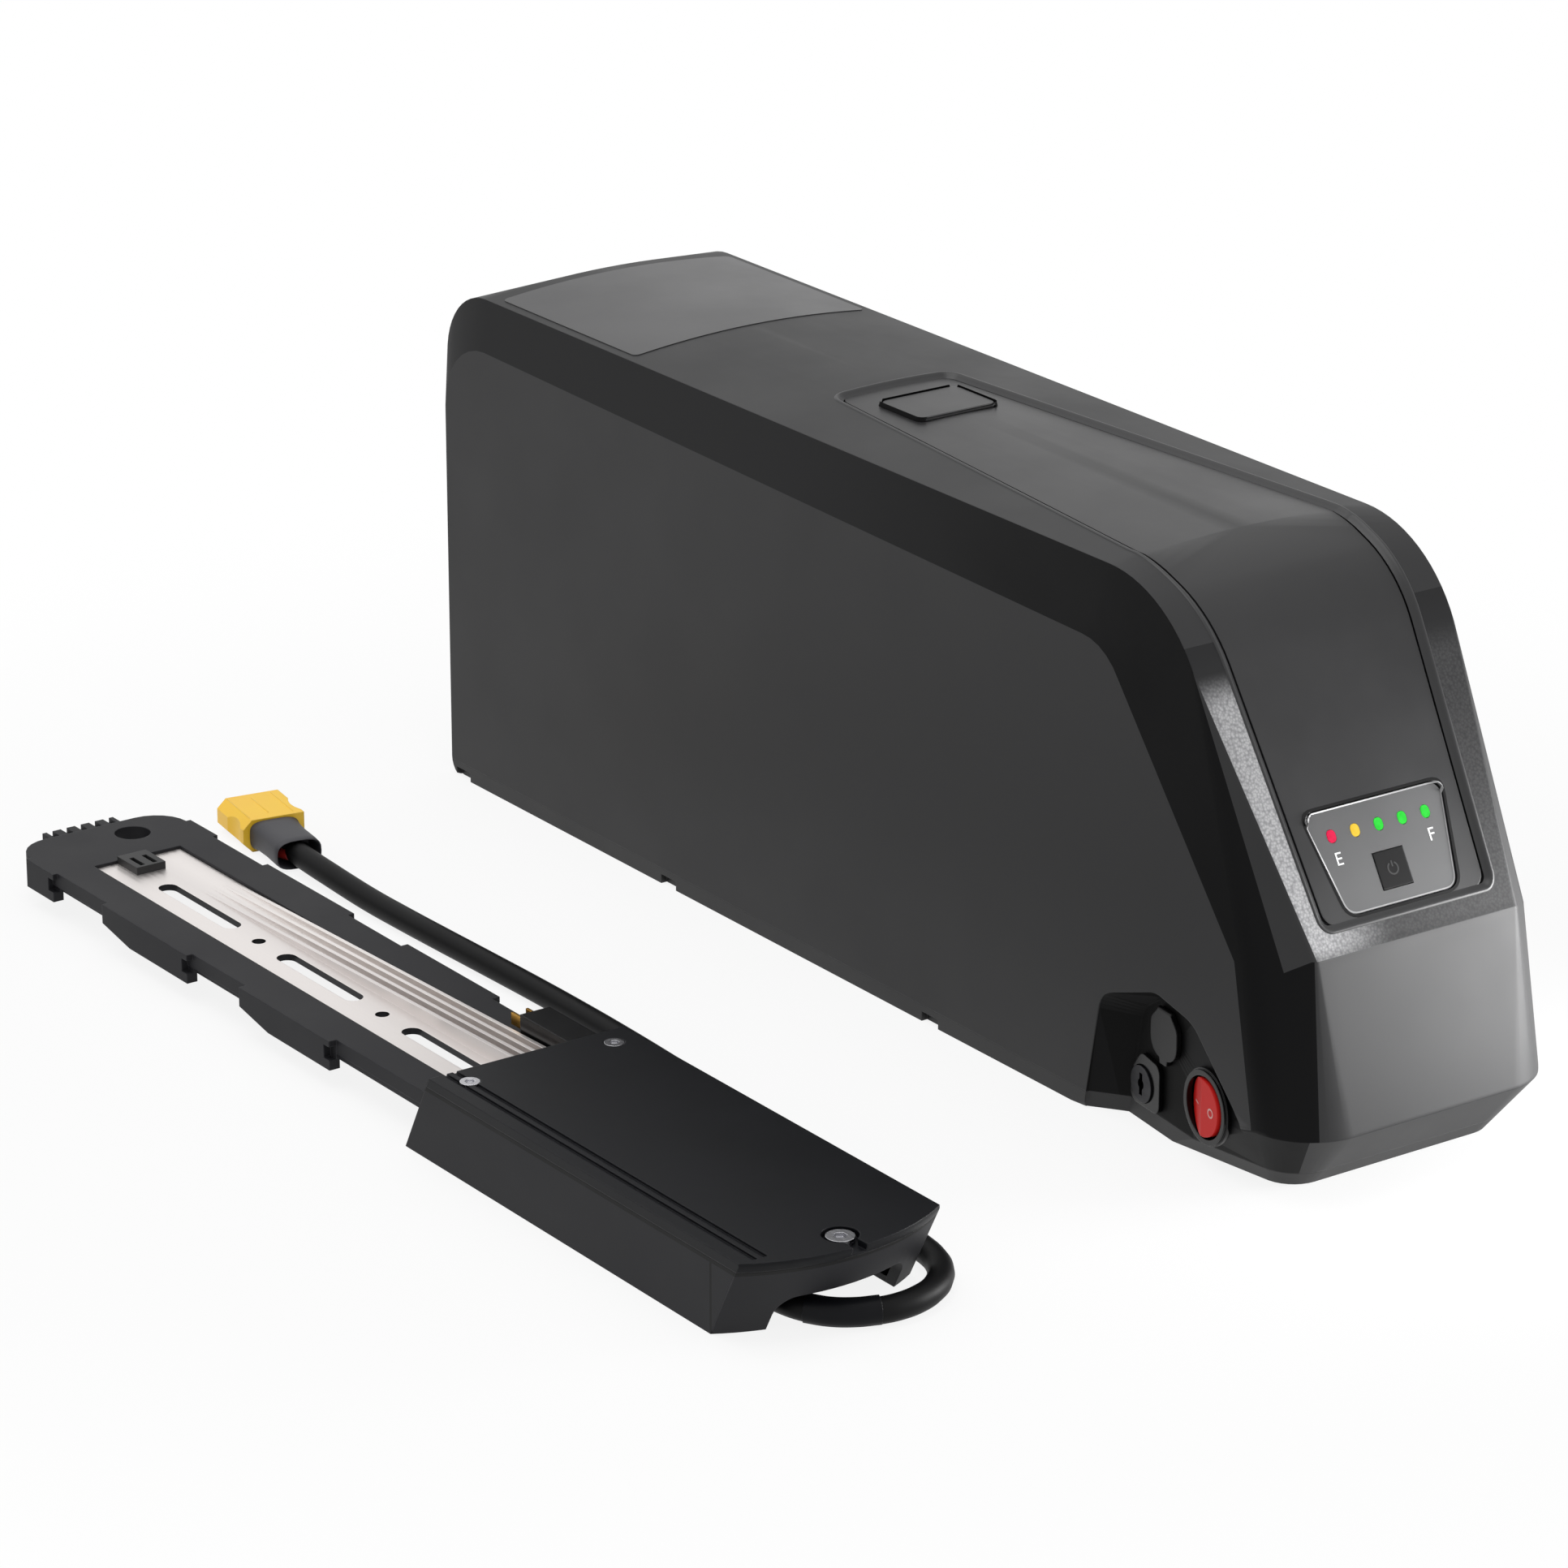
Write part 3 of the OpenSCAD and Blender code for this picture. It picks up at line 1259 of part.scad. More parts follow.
module end_cap() {
    color("#2c2c2e") translate([0, base_y, 0]) difference() {
        intersection() {
            cap_form();
            slab(0, case_top);
        }
        translate([box_start, (arch_y0 + arch_y1) / 2, -over]) rotate([90, 0, 90]) linear_extrude(box_l * 2)
            polygon(rounded([[(arch_y0 - arch_y1) / 2, -over], [(arch_y1 - arch_y0) / 2, -over],
                [(arch_y1 - arch_y0) / 2, arch_h + over], [(arch_y0 - arch_y1) / 2, arch_h + over]],
                [0, 0, arch_h / 2, arch_h / 2]));
        box_prism(0);
        translate([cap_screw_x, 0, case_top - lid_t - slip])
            cylinder(d = cap_screw_d + screw_fit, h = box_h, $fn = 32);
    }
}

module cable_gland() {
    start = box_start + box_l - bay_l + wall_t / 2;
    color("#1b1b1d") translate([start, base_y + cable_y, cable_z]) rotate([0, 90, 0]) difference() {
        cylinder(r1 = gland_r * 0.9, r2 = gland_r * 0.82, h = gland_l, $fn = 48);
        translate([0, 0, gland_l * 0.4]) cylinder(d = cable_d + 2 * run_gap, h = gland_l, $fn = 48);
    }
}

// The cable: hand-chosen places of its route, from the gland round the loop to the plug.
plug_at = [-169, -48, 5.3];
plug_yaw = -9;
route = [[173.2, -114, 5], [180, -114, 5], [186, -113, 4.7], [191.8, -110.5, 4.3],
    [197, -106.5, 4], [201.1, -101.2, 3.9], [203.6, -95.1, 3.9], [204.5, -88.5, 3.9],
    [203.6, -81.9, 3.9], [201.1, -75.8, 3.9], [197, -70.5, 3.9], [191.8, -66.5, 3.9],
    [185.6, -63.9, 3.9], [177, -62.4, 3.9], [165, -61, 3.9], [149, -59, 3.9], [130, -56.4, 3.9],
    [108, -53.6, 3.9], [84, -51.2, 3.9], [60, -49.4, 3.9], [36, -48.1, 3.9], [12, -47.3, 3.9],
    [-12, -47, 3.9], [-36, -47.2, 3.9], [-60, -47.8, 3.9], [-84, -48.5, 3.9], [-106, -49, 3.9],
    [-124, -49.2, 4], [-137, -49.3, 4.5], [-148, -49.3, 5], [-156, -49.1, 5.2],
    [-163, -48.7, 5.3], plug_at];
cable_sides = 12;
function along(i) = unit(route[min(i + 1, len(route) - 1)] - route[max(i - 1, 0)]);
function ring(i) =
    let (t = along(i), side = unit(cross(t, [0, 0, 1])), up = cross(side, t))
    [for (k = [0 : cable_sides - 1])
        route[i] + cable_d / 2 * (cos(360 * k / cable_sides) * side + sin(360 * k / cable_sides) * up)];
module power_cable() {
    n = cable_sides;
    last = len(route) - 1;
    color("#1b1b1c") polyhedron(
        points = [for (i = [0 : last]) each ring(i)],
        faces = concat([[for (k = [0 : n - 1]) k]], [[for (k = [n - 1 : -1 : 0]) last * n + k]],
            [for (i = [0 : last - 1]) for (k = [0 : n - 1])
                [i * n + k, (i + 1) * n + k, (i + 1) * n + (k + 1) % n, i * n + (k + 1) % n]]));
}

// Puts an outline at the plug: X across it, Y up and Z along it, away from the cable.
module at_plug(along_it) {
    translate(plug_at) rotate([0, 0, 180 + plug_yaw]) rotate([90, 0, 90])
        translate([0, 0, along_it]) children();
}
module plug_sleeve() {
    color("#55555a") at_plug(0) linear_extrude(sleeve_l)
        polygon(rectangle(plug_w * 0.72, plug_t * 0.84, plug_t * 0.3));
}
plug_bore_d = plug_t * 0.62;
plug_bore_l = plug_l * 0.7;
module plug_housing() {
    chamfer = plug_t * 0.28;
    waist_r = plug_l * 0.55;
    color("#f0b32c") difference() {
        at_plug(sleeve_l) linear_extrude(plug_l) polygon([[-plug_w / 2, -plug_t / 2],
            [plug_w / 2 - chamfer, -plug_t / 2], [plug_w / 2, -plug_t / 2 + chamfer],
            [plug_w / 2, plug_t / 2 - chamfer], [plug_w / 2 - chamfer, plug_t / 2], [-plug_w / 2,
            plug_t / 2]]);
        for (side = [-1, 1]) {
            at_plug(sleeve_l + plug_l * 0.36) translate([side * (plug_w * 0.44 + waist_r), plug_t, 0])
                rotate([90, 0, 0]) cylinder(r = waist_r, h = 2 * plug_t, $fn = 64);
            at_plug(sleeve_l + plug_l - plug_bore_l) translate([side * plug_w * 0.22, 0, 0])
                cylinder(d = plug_bore_d, h = plug_l, $fn = 40);
        }
    }
}
module plug_contacts() {
    color("#cfa84a") for (side = [-1, 1])
        at_plug(sleeve_l + plug_l - plug_bore_l) translate([side * plug_w * 0.22, 0, 0]) difference() {
            cylinder(d = plug_bore_d * 0.8, h = plug_bore_l * 0.9, $fn = 40);
            translate([0, 0, plug_bore_l * 0.2]) cylinder(d = plug_bore_d * 0.62, h = plug_l, $fn = 40);
        }
}

// The two places that the set's pieces are drawn at.
module battery() { translate([-case_l / 2, case_y, 0]) children(); }
module base() { translate([-case_l / 2, 0, 0]) children(); }

battery() main_housing();
battery() bottom_cover();
battery() cover_gasket();
battery() cover_screws();
battery() top_inlay();
battery() badge_plate();
battery() display_bezel();
battery() display_board();
battery() led_red();
battery() led_yellow();
battery() led_green();
battery() power_button();
battery() rating_label();
battery() charge_socket();
battery() charge_pin();
battery() port_cap();
battery() lock_plate();
battery() lock_barrel();
battery() latch_bolt();
battery() latch_guide();
battery() switch_frame();
battery() switch_rocker();
battery() switch_terminals();
battery() cells();
battery() cell_holder_left();
battery() cell_holder_right();
battery() nickel_strips_left();
battery() nickel_strips_right();
battery() bms_board();
battery() bms_mosfets();
battery() bms_heatsink();
battery() discharge_socket();
battery() socket_contacts();
battery() power_leads();
battery() foam_pad();
base() rail_tray();
base() rail_plate();
base() keeper_tab();
base() terminal_block();
base() terminal_blades();
base() controller_case();
base() controller_lid();
base() end_cap();
base() controller_board();
base() capacitors();
base() controller_mosfets();
base() lid_screws();
base() cap_screw();
base() cable_gland();
power_cable();
plug_sleeve();
plug_housing();
plug_contacts();
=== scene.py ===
# %% [markdown]
# # An e-bike battery and its mounting base
# The battery is a moulded black case that clicks onto a rail on the bicycle's frame. It has a
# sunken top with a charge display at the front, and a side pocket with a lock, a charge port and a
# switch. Beside it lies the mounting base: a plastic rail with an aluminium plate, a controller
# box, and a cable that ends in a two-pole plug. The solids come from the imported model, and this
# lesson gives them their finishes and adds the small pieces that show.

import json
import math

import bmesh
import bpy
from mathutils import Matrix, Vector
from mathutils.bvhtree import BVHTree


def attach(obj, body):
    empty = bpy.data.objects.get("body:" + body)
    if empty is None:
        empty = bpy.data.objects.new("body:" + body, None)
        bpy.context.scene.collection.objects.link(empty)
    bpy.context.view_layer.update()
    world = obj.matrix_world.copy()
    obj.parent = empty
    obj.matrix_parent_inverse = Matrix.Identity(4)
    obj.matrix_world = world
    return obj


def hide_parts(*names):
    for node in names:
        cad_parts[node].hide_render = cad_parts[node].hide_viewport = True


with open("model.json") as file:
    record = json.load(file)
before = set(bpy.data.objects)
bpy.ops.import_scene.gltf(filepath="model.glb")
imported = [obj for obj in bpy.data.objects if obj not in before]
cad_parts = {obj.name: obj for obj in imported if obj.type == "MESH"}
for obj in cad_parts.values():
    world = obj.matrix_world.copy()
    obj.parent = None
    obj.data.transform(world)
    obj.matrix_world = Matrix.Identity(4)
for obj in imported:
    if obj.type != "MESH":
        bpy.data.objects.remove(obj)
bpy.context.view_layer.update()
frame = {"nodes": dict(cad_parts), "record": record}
solids = frame["nodes"]
MM = 0.001

# %% [markdown]
# ## The camera
# The photograph is taken with a long lens from the front left, a little above the battery, so the
# lines hardly converge. Its direction is an angle round the set and an angle above the floor, and
# its place is the one from which the boxes' corners fall where the photograph has them. A long lens
# far away is chosen over a short one near by, because only that keeps the two long boxes as parallel
# as they are in the photograph.

# %% Camera
ROUND_ANGLE = math.radians(54.7)
UP_ANGLE = math.radians(20.55)
CAMERA_PLACE = (1.4546, -1.0117, 0.7331)
LENS_MM, SENSOR_MM = 149.07, 36.0
CLIP_START, CLIP_END = 0.05, 60.0
camera_back = Vector(
    (
        math.sin(ROUND_ANGLE) * math.cos(UP_ANGLE),
        -math.cos(ROUND_ANGLE) * math.cos(UP_ANGLE),
        math.sin(UP_ANGLE),
    )
)
camera_data = bpy.data.cameras.new("camera")
camera_data.lens = LENS_MM
camera_data.sensor_width = SENSOR_MM
camera_data.clip_start = CLIP_START
camera_data.clip_end = CLIP_END
camera = bpy.data.objects.new("camera", camera_data)
camera.location = CAMERA_PLACE
camera.rotation_mode = "QUATERNION"
camera.rotation_quaternion = (-camera_back).to_track_quat("-Z", "Y")
bpy.context.collection.objects.link(camera)
bpy.context.scene.camera = camera
print("camera distance from the middle:", round(camera.location.length, 3))

# %% [markdown]
# ## Mesh helpers
# Every piece is made at its own place in metres, and its object stays at the origin. A few helpers
# put a finished bmesh into an object, seat it on the body that carries it, and hide the solid it
# stands for. Smooth shading with sharp edges by angle is chosen over more faces: a round piece then
# looks round and its rims stay crisp.


# %% Put a bmesh into the scene
def make_piece(name, shape, body, finish, slot=None, stands_for=(), sharp=35.0):
    """The bmesh as a named object that rides on a body and has its finish."""
    mesh = bpy.data.meshes.new(name)
    for face in shape.faces:
        face.smooth = True
    for edge in shape.edges:
        flat_side = len(edge.link_faces) != 2
        edge.smooth = not flat_side and edge.calc_face_angle(0.0) < math.radians(sharp)
    shape.to_mesh(mesh)
    shape.free()
    piece = bpy.data.objects.new(name, mesh)
    bpy.context.collection.objects.link(piece)
    mesh.materials.append(finish)
    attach(piece, body)
    if stands_for:
        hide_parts(*stands_for)
    return piece


def place(shape, matrix):
    """Moves the whole bmesh by a matrix."""
    bmesh.ops.transform(shape, matrix=matrix, verts=shape.verts)


def soften(shape, width, steps=2, sharp=30.0):
    """Bevels the edges where two faces meet at more than an angle."""
    limit = math.radians(sharp)
    edges = [e for e in shape.edges if e.is_manifold and e.calc_face_angle(0.0) > limit]
    bmesh.ops.bevel(
        shape,
        geom=edges,
        offset=width,
        offset_type="OFFSET",
        affect="EDGES",
        segments=steps,
        profile=0.5,
        material=-1,
        clamp_overlap=True,
    )


def rounded_corners(half_x, half_y, radius, steps=5):
    """Corner points of a rounded rectangle about the origin."""
    points = []
    for turn, (sx, sy) in enumerate(((1, 1), (-1, 1), (-1, -1), (1, -1))):
        for step in range(steps + 1):
            angle = math.radians(90 * turn + 90 * step / steps)
            points.append(
                (
                    sx * (half_x - radius) + radius * math.cos(angle),
                    sy * (half_y - radius) + radius * math.sin(angle),
                )
            )
    return points


# %% [markdown]
# ## Where the parts sit
# The display lies on the slope at the front and the switch in the side pocket, which is turned a
# little towards the front. A matrix for each of the two lets a piece be drawn flat, with Z as the
# way out of the surface, and then set in its place in one step. The places are those of the packed
# model, so what is drawn here lies on the solids.


# %% Places on the slope and in the pocket
SLOPE_LEAN = math.radians(30.96)
slope_out = Vector((math.cos(SLOPE_LEAN), 0.0, math.sin(SLOPE_LEAN)))
slope_up = Vector((-math.sin(SLOPE_LEAN), 0.0, math.cos(SLOPE_LEAN)))
slope_across = Vector((0.0, 1.0, 0.0))
POCKET_TURN = math.radians(7.4)
pocket_along = Vector((math.cos(POCKET_TURN), -math.sin(POCKET_TURN), 0.0))
pocket_out = Vector((-math.sin(POCKET_TURN), -math.cos(POCKET_TURN), 0.0))
pocket_up = Vector((0.0, 0.0, 1.0))
SLOPE_FOOT = (201.8, 86.0, 75.0)
POCKET_CORNER = (130.0, 45.5, 0.0)


def frame_at(corner, x_axis, y_axis, z_axis):
    """A matrix whose axes are the three given ones and whose middle is the corner."""
    columns = Matrix((x_axis, y_axis, z_axis)).transposed().to_4x4()
    return Matrix.Translation(corner) @ columns


SLOPE = frame_at(Vector(SLOPE_FOOT) * MM, slope_across, slope_up, slope_out)
POCKET = frame_at(Vector(POCKET_CORNER) * MM, pocket_along, pocket_up, pocket_out)
print("slope faces", tuple(round(x, 3) for x in slope_out))


def on_slope(across, rise, out=0.0):
    """A place on the slope, in millimetres across it, up it and out of it."""
    return SLOPE @ Matrix.Translation(Vector((across, rise, out)) * MM)


def in_pocket(along, up, out=0.0):
    """A place in the pocket, in millimetres along it, up it and out of its floor."""
    return POCKET @ Matrix.Translation(Vector((along, up, out)) * MM)


# %% [markdown]
# ## Effects that the finishes share
# Black moulded plastic isn't one flat black. It has a fine grain from the mould, its tone drifts a
# little, and its edges are rounded and catch the light. A lighter tone on the edges stands for wear
# and also for a painted highlight. Each of these effects is a node group that any finish can use
# with its own numbers. The rounded edge is read by a Bevel node, which costs no faces, where a real
# bevel on so many solids would.


# %% Node helpers
def add_node(tree, kind, values=None, **settings):
    """A shader node with its settings and its input values."""
    node = tree.nodes.new("ShaderNode" + kind)
    for key, value in settings.items():
        setattr(node, key, value)
    for key, value in (values or {}).items():
        node.inputs[key].default_value = value
    return node


def new_group(name, inputs, outputs):
    """An empty node group with named sockets."""
    group = bpy.data.node_groups.new(name, "ShaderNodeTree")
    for label, kind, value in inputs:
        socket = group.interface.new_socket(label, in_out="INPUT", socket_type=kind)
        if value is not None:
            socket.default_value = value
    for label, kind in outputs:
        group.interface.new_socket(label, in_out="OUTPUT", socket_type=kind)
    return group, group.nodes.new("NodeGroupInput"), group.nodes.new("NodeGroupOutput")


def maths(tree, operation, *values):
    """A Math node fed by sockets or numbers."""
    node = add_node(tree, "Math", operation=operation)
    for socket, value in zip(node.inputs, values):
        if isinstance(value, (int, float)):
            socket.default_value = value
        else:
            tree.links.new(value, socket)
    return node.outputs[0]


def ramp(tree, value, low, high, start=0.0, end=1.0, kind="SMOOTHSTEP"):
    """A value mapped from one span onto another."""
    spans = {"From Min": low, "From Max": high, "To Min": start, "To Max": end}
    node = add_node(tree, "MapRange", spans, interpolation_type=kind)
    tree.links.new(value, node.inputs["Value"])
    return node.outputs[0]


# %% Mould grain: a fine height and a slow drift of tone
FLOAT, VECTOR = "NodeSocketFloat", "NodeSocketVector"
FINE_TO_PITS = 2.3
grain_group, g_in, g_out = new_group(
    "mould grain",
    [("Vector", VECTOR, None), ("Grain", FLOAT, 0.0005), ("Drift", FLOAT, 0.04)],
    [("Height", FLOAT), ("Tone", FLOAT)],
)
one_over = maths(grain_group, "DIVIDE", 1.0, g_in.outputs["Grain"])
pits = add_node(grain_group, "TexVoronoi", feature="SMOOTH_F1")
fine = add_node(grain_group, "TexNoise", {"Detail": 3.0, "Roughness": 0.6})
slow = add_node(grain_group, "TexNoise", {"Detail": 4.0, "Roughness": 0.55})
for texture in (pits, fine, slow):
    grain_group.links.new(g_in.outputs["Vector"], texture.inputs["Vector"])
grain_group.links.new(one_over, pits.inputs["Scale"])
grain_group.links.new(maths(grain_group, "MULTIPLY", one_over, FINE_TO_PITS), fine.inputs["Scale"])
grain_group.links.new(
    maths(grain_group, "DIVIDE", 1.0, g_in.outputs["Drift"]), slow.inputs["Scale"]
)
both = maths(grain_group, "ADD", pits.outputs["Distance"], fine.outputs["Fac"])
grain_group.links.new(maths(grain_group, "MULTIPLY", both, 0.5), g_out.inputs["Height"])
grain_group.links.new(slow.outputs["Fac"], g_out.inputs["Tone"])
print("group:", grain_group.name, len(grain_group.nodes), "nodes")

# %% Rounded edge: a bent normal and a mask of worn corners, which also carries a painted edge highlight
# The cosine between the bent and the straight normal where an edge starts and where it is full
EDGE_STARTS, EDGE_FULL = 0.99, 0.8
RUB_SCALE = 260.0
RUB_SPAN, RUB_LEAST = (0.35, 0.7), 0.35
edge_group, e_in, e_out = new_group(
    "rounded edge",
    [("Vector", VECTOR, None), ("Radius", FLOAT, 0.0005)],
    [("Normal", VECTOR), ("Edge", FLOAT)],
)
bent = add_node(edge_group, "Bevel", samples=6)
edge_group.links.new(e_in.outputs["Radius"], bent.inputs["Radius"])
straight = add_node(edge_group, "NewGeometry")
apart = add_node(edge_group, "VectorMath", operation="DOT_PRODUCT")
edge_group.links.new(bent.outputs["Normal"], apart.inputs[0])
edge_group.links.new(straight.outputs["Normal"], apart.inputs[1])
corner = ramp(edge_group, apart.outputs["Value"], EDGE_STARTS, EDGE_FULL, kind="LINEAR")
rubbed = add_node(edge_group, "TexNoise", {"Scale": RUB_SCALE, "Detail": 3.0})
edge_group.links.new(e_in.outputs["Vector"], rubbed.inputs["Vector"])
patchy = ramp(edge_group, rubbed.outputs["Fac"], *RUB_SPAN, RUB_LEAST, kind="LINEAR")
edge_group.links.new(bent.outputs["Normal"], e_out.inputs["Normal"])
# The mask of worn edges, which the finishes also use for a painted edge highlight.
wear_and_sheen_mask = maths(edge_group, "MULTIPLY", corner, patchy)
edge_group.links.new(wear_and_sheen_mask, e_out.inputs["Edge"])
print("group:", edge_group.name, len(edge_group.nodes), "nodes")

# %% Drawn lines: long fine marks along one way, as on rolled or brushed metal
line_group, l_in, l_out = new_group(
    "drawn lines",
    [("Vector", VECTOR, None), ("Stretch", VECTOR, (4.0, 900.0, 900.0))],
    [("Height", FLOAT), ("Tone", FLOAT)],
)
stretched = add_node(line_group, "VectorMath", operation="MULTIPLY")
line_group.links.new(l_in.outputs["Vector"], stretched.inputs[0])
line_group.links.new(l_in.outputs["Stretch"], stretched.inputs[1])
marks = add_node(line_group, "TexNoise", {"Scale": 1.0, "Detail": 4.0, "Roughness": 0.7})
bands = add_node(line_group, "TexNoise", {"Scale": 0.06, "Detail": 2.0, "Roughness": 0.5})
for texture in (marks, bands):
    line_group.links.new(stretched.outputs[0], texture.inputs["Vector"])
line_group.links.new(marks.outputs["Fac"], l_out.inputs["Height"])
line_group.links.new(bands.outputs["Fac"], l_out.inputs["Tone"])
print("group:", line_group.name, len(line_group.nodes), "nodes")

# %% [markdown]
# ## Colours and masks
# A finish's colour is laid in coats, as a painter would: a tone that drifts a little, worn corners
# over it, which on some finishes are a painted edge highlight too, and then whatever shows only in
# one place, such as painted shade and a painted sheen. Each coat is a Mix node with a mask. The
# tones are written as the photograph shows them, which is easier to compare by eye than linear
# numbers.


# %% Colour from a written tone
def tone(text):
    """A written colour, such as 3a3a3b, as the linear numbers that the shader takes."""
    parts = [int(text[i : i + 2], 16) / 255 for i in (0, 2, 4)]
    return [p / 12.92 if p < 0.04045 else ((p + 0.055) / 1.055) ** 2.4 for p in parts] + [1.0]


def use_group(tree, group, **values):
    """A group node in a material, with its own values."""
    node = tree.nodes.new("ShaderNodeGroup")
    node.node_tree = group
    for key, value in values.items():
        node.inputs[key].default_value = value
    return node


def blank_finish(name):
    """A material with only its Principled shader and Object coordinates."""
    material = bpy.data.materials.new(name)
    material.use_nodes = True
    shader = material.node_tree.nodes["Principled BSDF"]
    coords = add_node(material.node_tree, "TexCoord")
    return material, material.node_tree, shader, coords.outputs["Object"]


# %% Masks that lay one colour over another
COLOUR_A, COLOUR_B, MIXED_COLOUR = 6, 7, 2
NOISE_SPAN = (0.3, 0.7)


def mix_colour(tree, mask, under, over):
    """One colour over another by a mask; each is a written tone or a socket."""
    mix = add_node(tree, "Mix", data_type="RGBA")
    tree.links.new(mask, mix.inputs[0])
    for index, colour in ((COLOUR_A, under), (COLOUR_B, over)):
        if isinstance(colour, str):
            mix.inputs[index].default_value = tone(colour)
        else:
            tree.links.new(colour, mix.inputs[index])
    return mix.outputs[MIXED_COLOUR]


def two_tones(tree, mask, dark, light, span=NOISE_SPAN):
    """A colour that drifts between two tones by a mask, most of which lies in a span."""
    return mix_colour(tree, ramp(tree, mask, *span, kind="LINEAR"), dark, light)


def lay_colour(tree, mask, colour):
    """Lays a colour over what the shader's base colour has, by a mask."""
    base = tree.nodes["Principled BSDF"].inputs["Base Color"]
    tree.links.new(mix_colour(tree, mask, base.links[0].from_socket, colour), base)


def axes_of(tree, output="Object"):
    """The X, Y and Z sockets of a point's place on the piece, or of its normal."""
    spot = add_node(tree, "SeparateXYZ")
    tree.links.new(tree.nodes["Texture Coordinate"].outputs[output], spot.inputs[0])
    return spot.outputs


# %% [markdown]
# ## The finishes
# One function makes every moulded finish from the shared effects, and two more make the metals and
# the small lights. A real set of such parts differs mostly in tone, gloss and grain size, so these
# are the columns of the table that the functions read. Each row could be a material built by hand,
# but then a change to the grain or to the worn edge would have to be made thirty times.


# %% Relief and roughness that every solid finish has
def rough_and_bumpy(tree, shader, roughness, height, normal, strength, depth):
    """Feeds the shader's roughness, and a bump of a depth in millimetres on a bent normal."""
    tree.links.new(roughness, shader.inputs["Roughness"])
    relief = add_node(tree, "Bump", {"Strength": strength, "Distance": depth * MM})
    tree.links.new(height, relief.inputs["Height"])
    tree.links.new(normal, relief.inputs["Normal"])
    tree.links.new(relief.outputs[0], shader.inputs["Normal"])


# %% Moulded plastic and rubber
PLASTIC_GLOSS_SWING = 0.05
PLASTIC_BUMP = 0.6


def moulded(name, dark, light, gloss, grain, depth, edge, wear_and_sheen, shine):
    """Plastic or rubber: grain, depth and edge in millimetres, gloss as roughness."""
    material, tree, shader, coords = blank_finish(name)
    grains = use_group(tree, grain_group, Grain=grain * MM)
    corners = use_group(tree, edge_group, Radius=edge * MM)
    for node in (grains, corners):
        tree.links.new(coords, node.inputs["Vector"])
    drift = grains.outputs["Tone"]
    colour = two_tones(tree, drift, dark, light)
    # Worn edges in a lighter tone, partly wear and partly a painted highlight.
    wear_and_sheen_colour = mix_colour(tree, corners.outputs["Edge"], colour, wear_and_sheen)
    tree.links.new(wear_and_sheen_colour, shader.inputs["Base Color"])
    swing = (gloss - PLASTIC_GLOSS_SWING, gloss + PLASTIC_GLOSS_SWING)
    dull = ramp(tree, drift, *NOISE_SPAN, *swing, kind="LINEAR")
    height, normal = grains.outputs["Height"], corners.outputs["Normal"]
    rough_and_bumpy(tree, shader, dull, height, normal, PLASTIC_BUMP, depth)
    shader.inputs["Specular IOR Level"].default_value = shine
    return material


# %% Metals
METAL_GLOSS_SWING = 0.06
METAL_BUMP = 0.4
METAL_DEPTH = 0.01
METAL_EDGE = 0.25


def metal(name, dark, light, gloss):
    """Steel, aluminium, brass or nickel with fine drawn lines."""
    material, tree, shader, coords = blank_finish(name)
    lines = use_group(tree, line_group)
    corners = use_group(tree, edge_group, Radius=METAL_EDGE * MM)
    for node in (lines, corners):
        tree.links.new(coords, node.inputs["Vector"])
    colour = two_tones(tree, lines.outputs["Tone"], dark, light)
    tree.links.new(colour, shader.inputs["Base Color"])
    height, normal = lines.outputs["Height"], corners.outputs["Normal"]
    swing = (gloss - METAL_GLOSS_SWING, gloss + METAL_GLOSS_SWING)
    dull = ramp(tree, height, *NOISE_SPAN, *swing, kind="LINEAR")
    rough_and_bumpy(tree, shader, dull, height, normal, METAL_BUMP, METAL_DEPTH)
    shader.inputs["Metallic"].default_value = 1.0
    return material


# %% Lit lenses
LENS_GRAIN, LENS_DRIFT = 0.3, 0.002
LENS_SPAN = (0.2, 0.6)
LENS_GLOW = 0.9
UNLIT_SHARE = 0.12


def lit(name, rim, core):
    """A small coloured lens with a light behind it, whose glow drifts between a deeper and a
    brighter tone.
    """
    material, tree, shader, coords = blank_finish(name)
    facing = add_node(tree, "LayerWeight", {"Blend": 0.35})
    grains = use_group(tree, grain_group, Grain=LENS_GRAIN * MM, Drift=LENS_DRIFT)
    tree.links.new(coords, grains.inputs["Vector"])
    glow = two_tones(tree, grains.outputs["Tone"], rim, core, LENS_SPAN)
    tree.links.new(glow, shader.inputs["Emission Color"])
    shader.inputs["Base Color"].default_value = [UNLIT_SHARE * c for c in tone(rim)[:3]] + [1.0]
    shader.inputs["Emission Strength"].default_value = LENS_GLOW
    shader.inputs["Specular IOR Level"].default_value = 0.2
    dull = maths(tree, "MULTIPLY_ADD", facing.outputs["Facing"], 0.3, 0.25)
    tree.links.new(dull, shader.inputs["Roughness"])
    return material
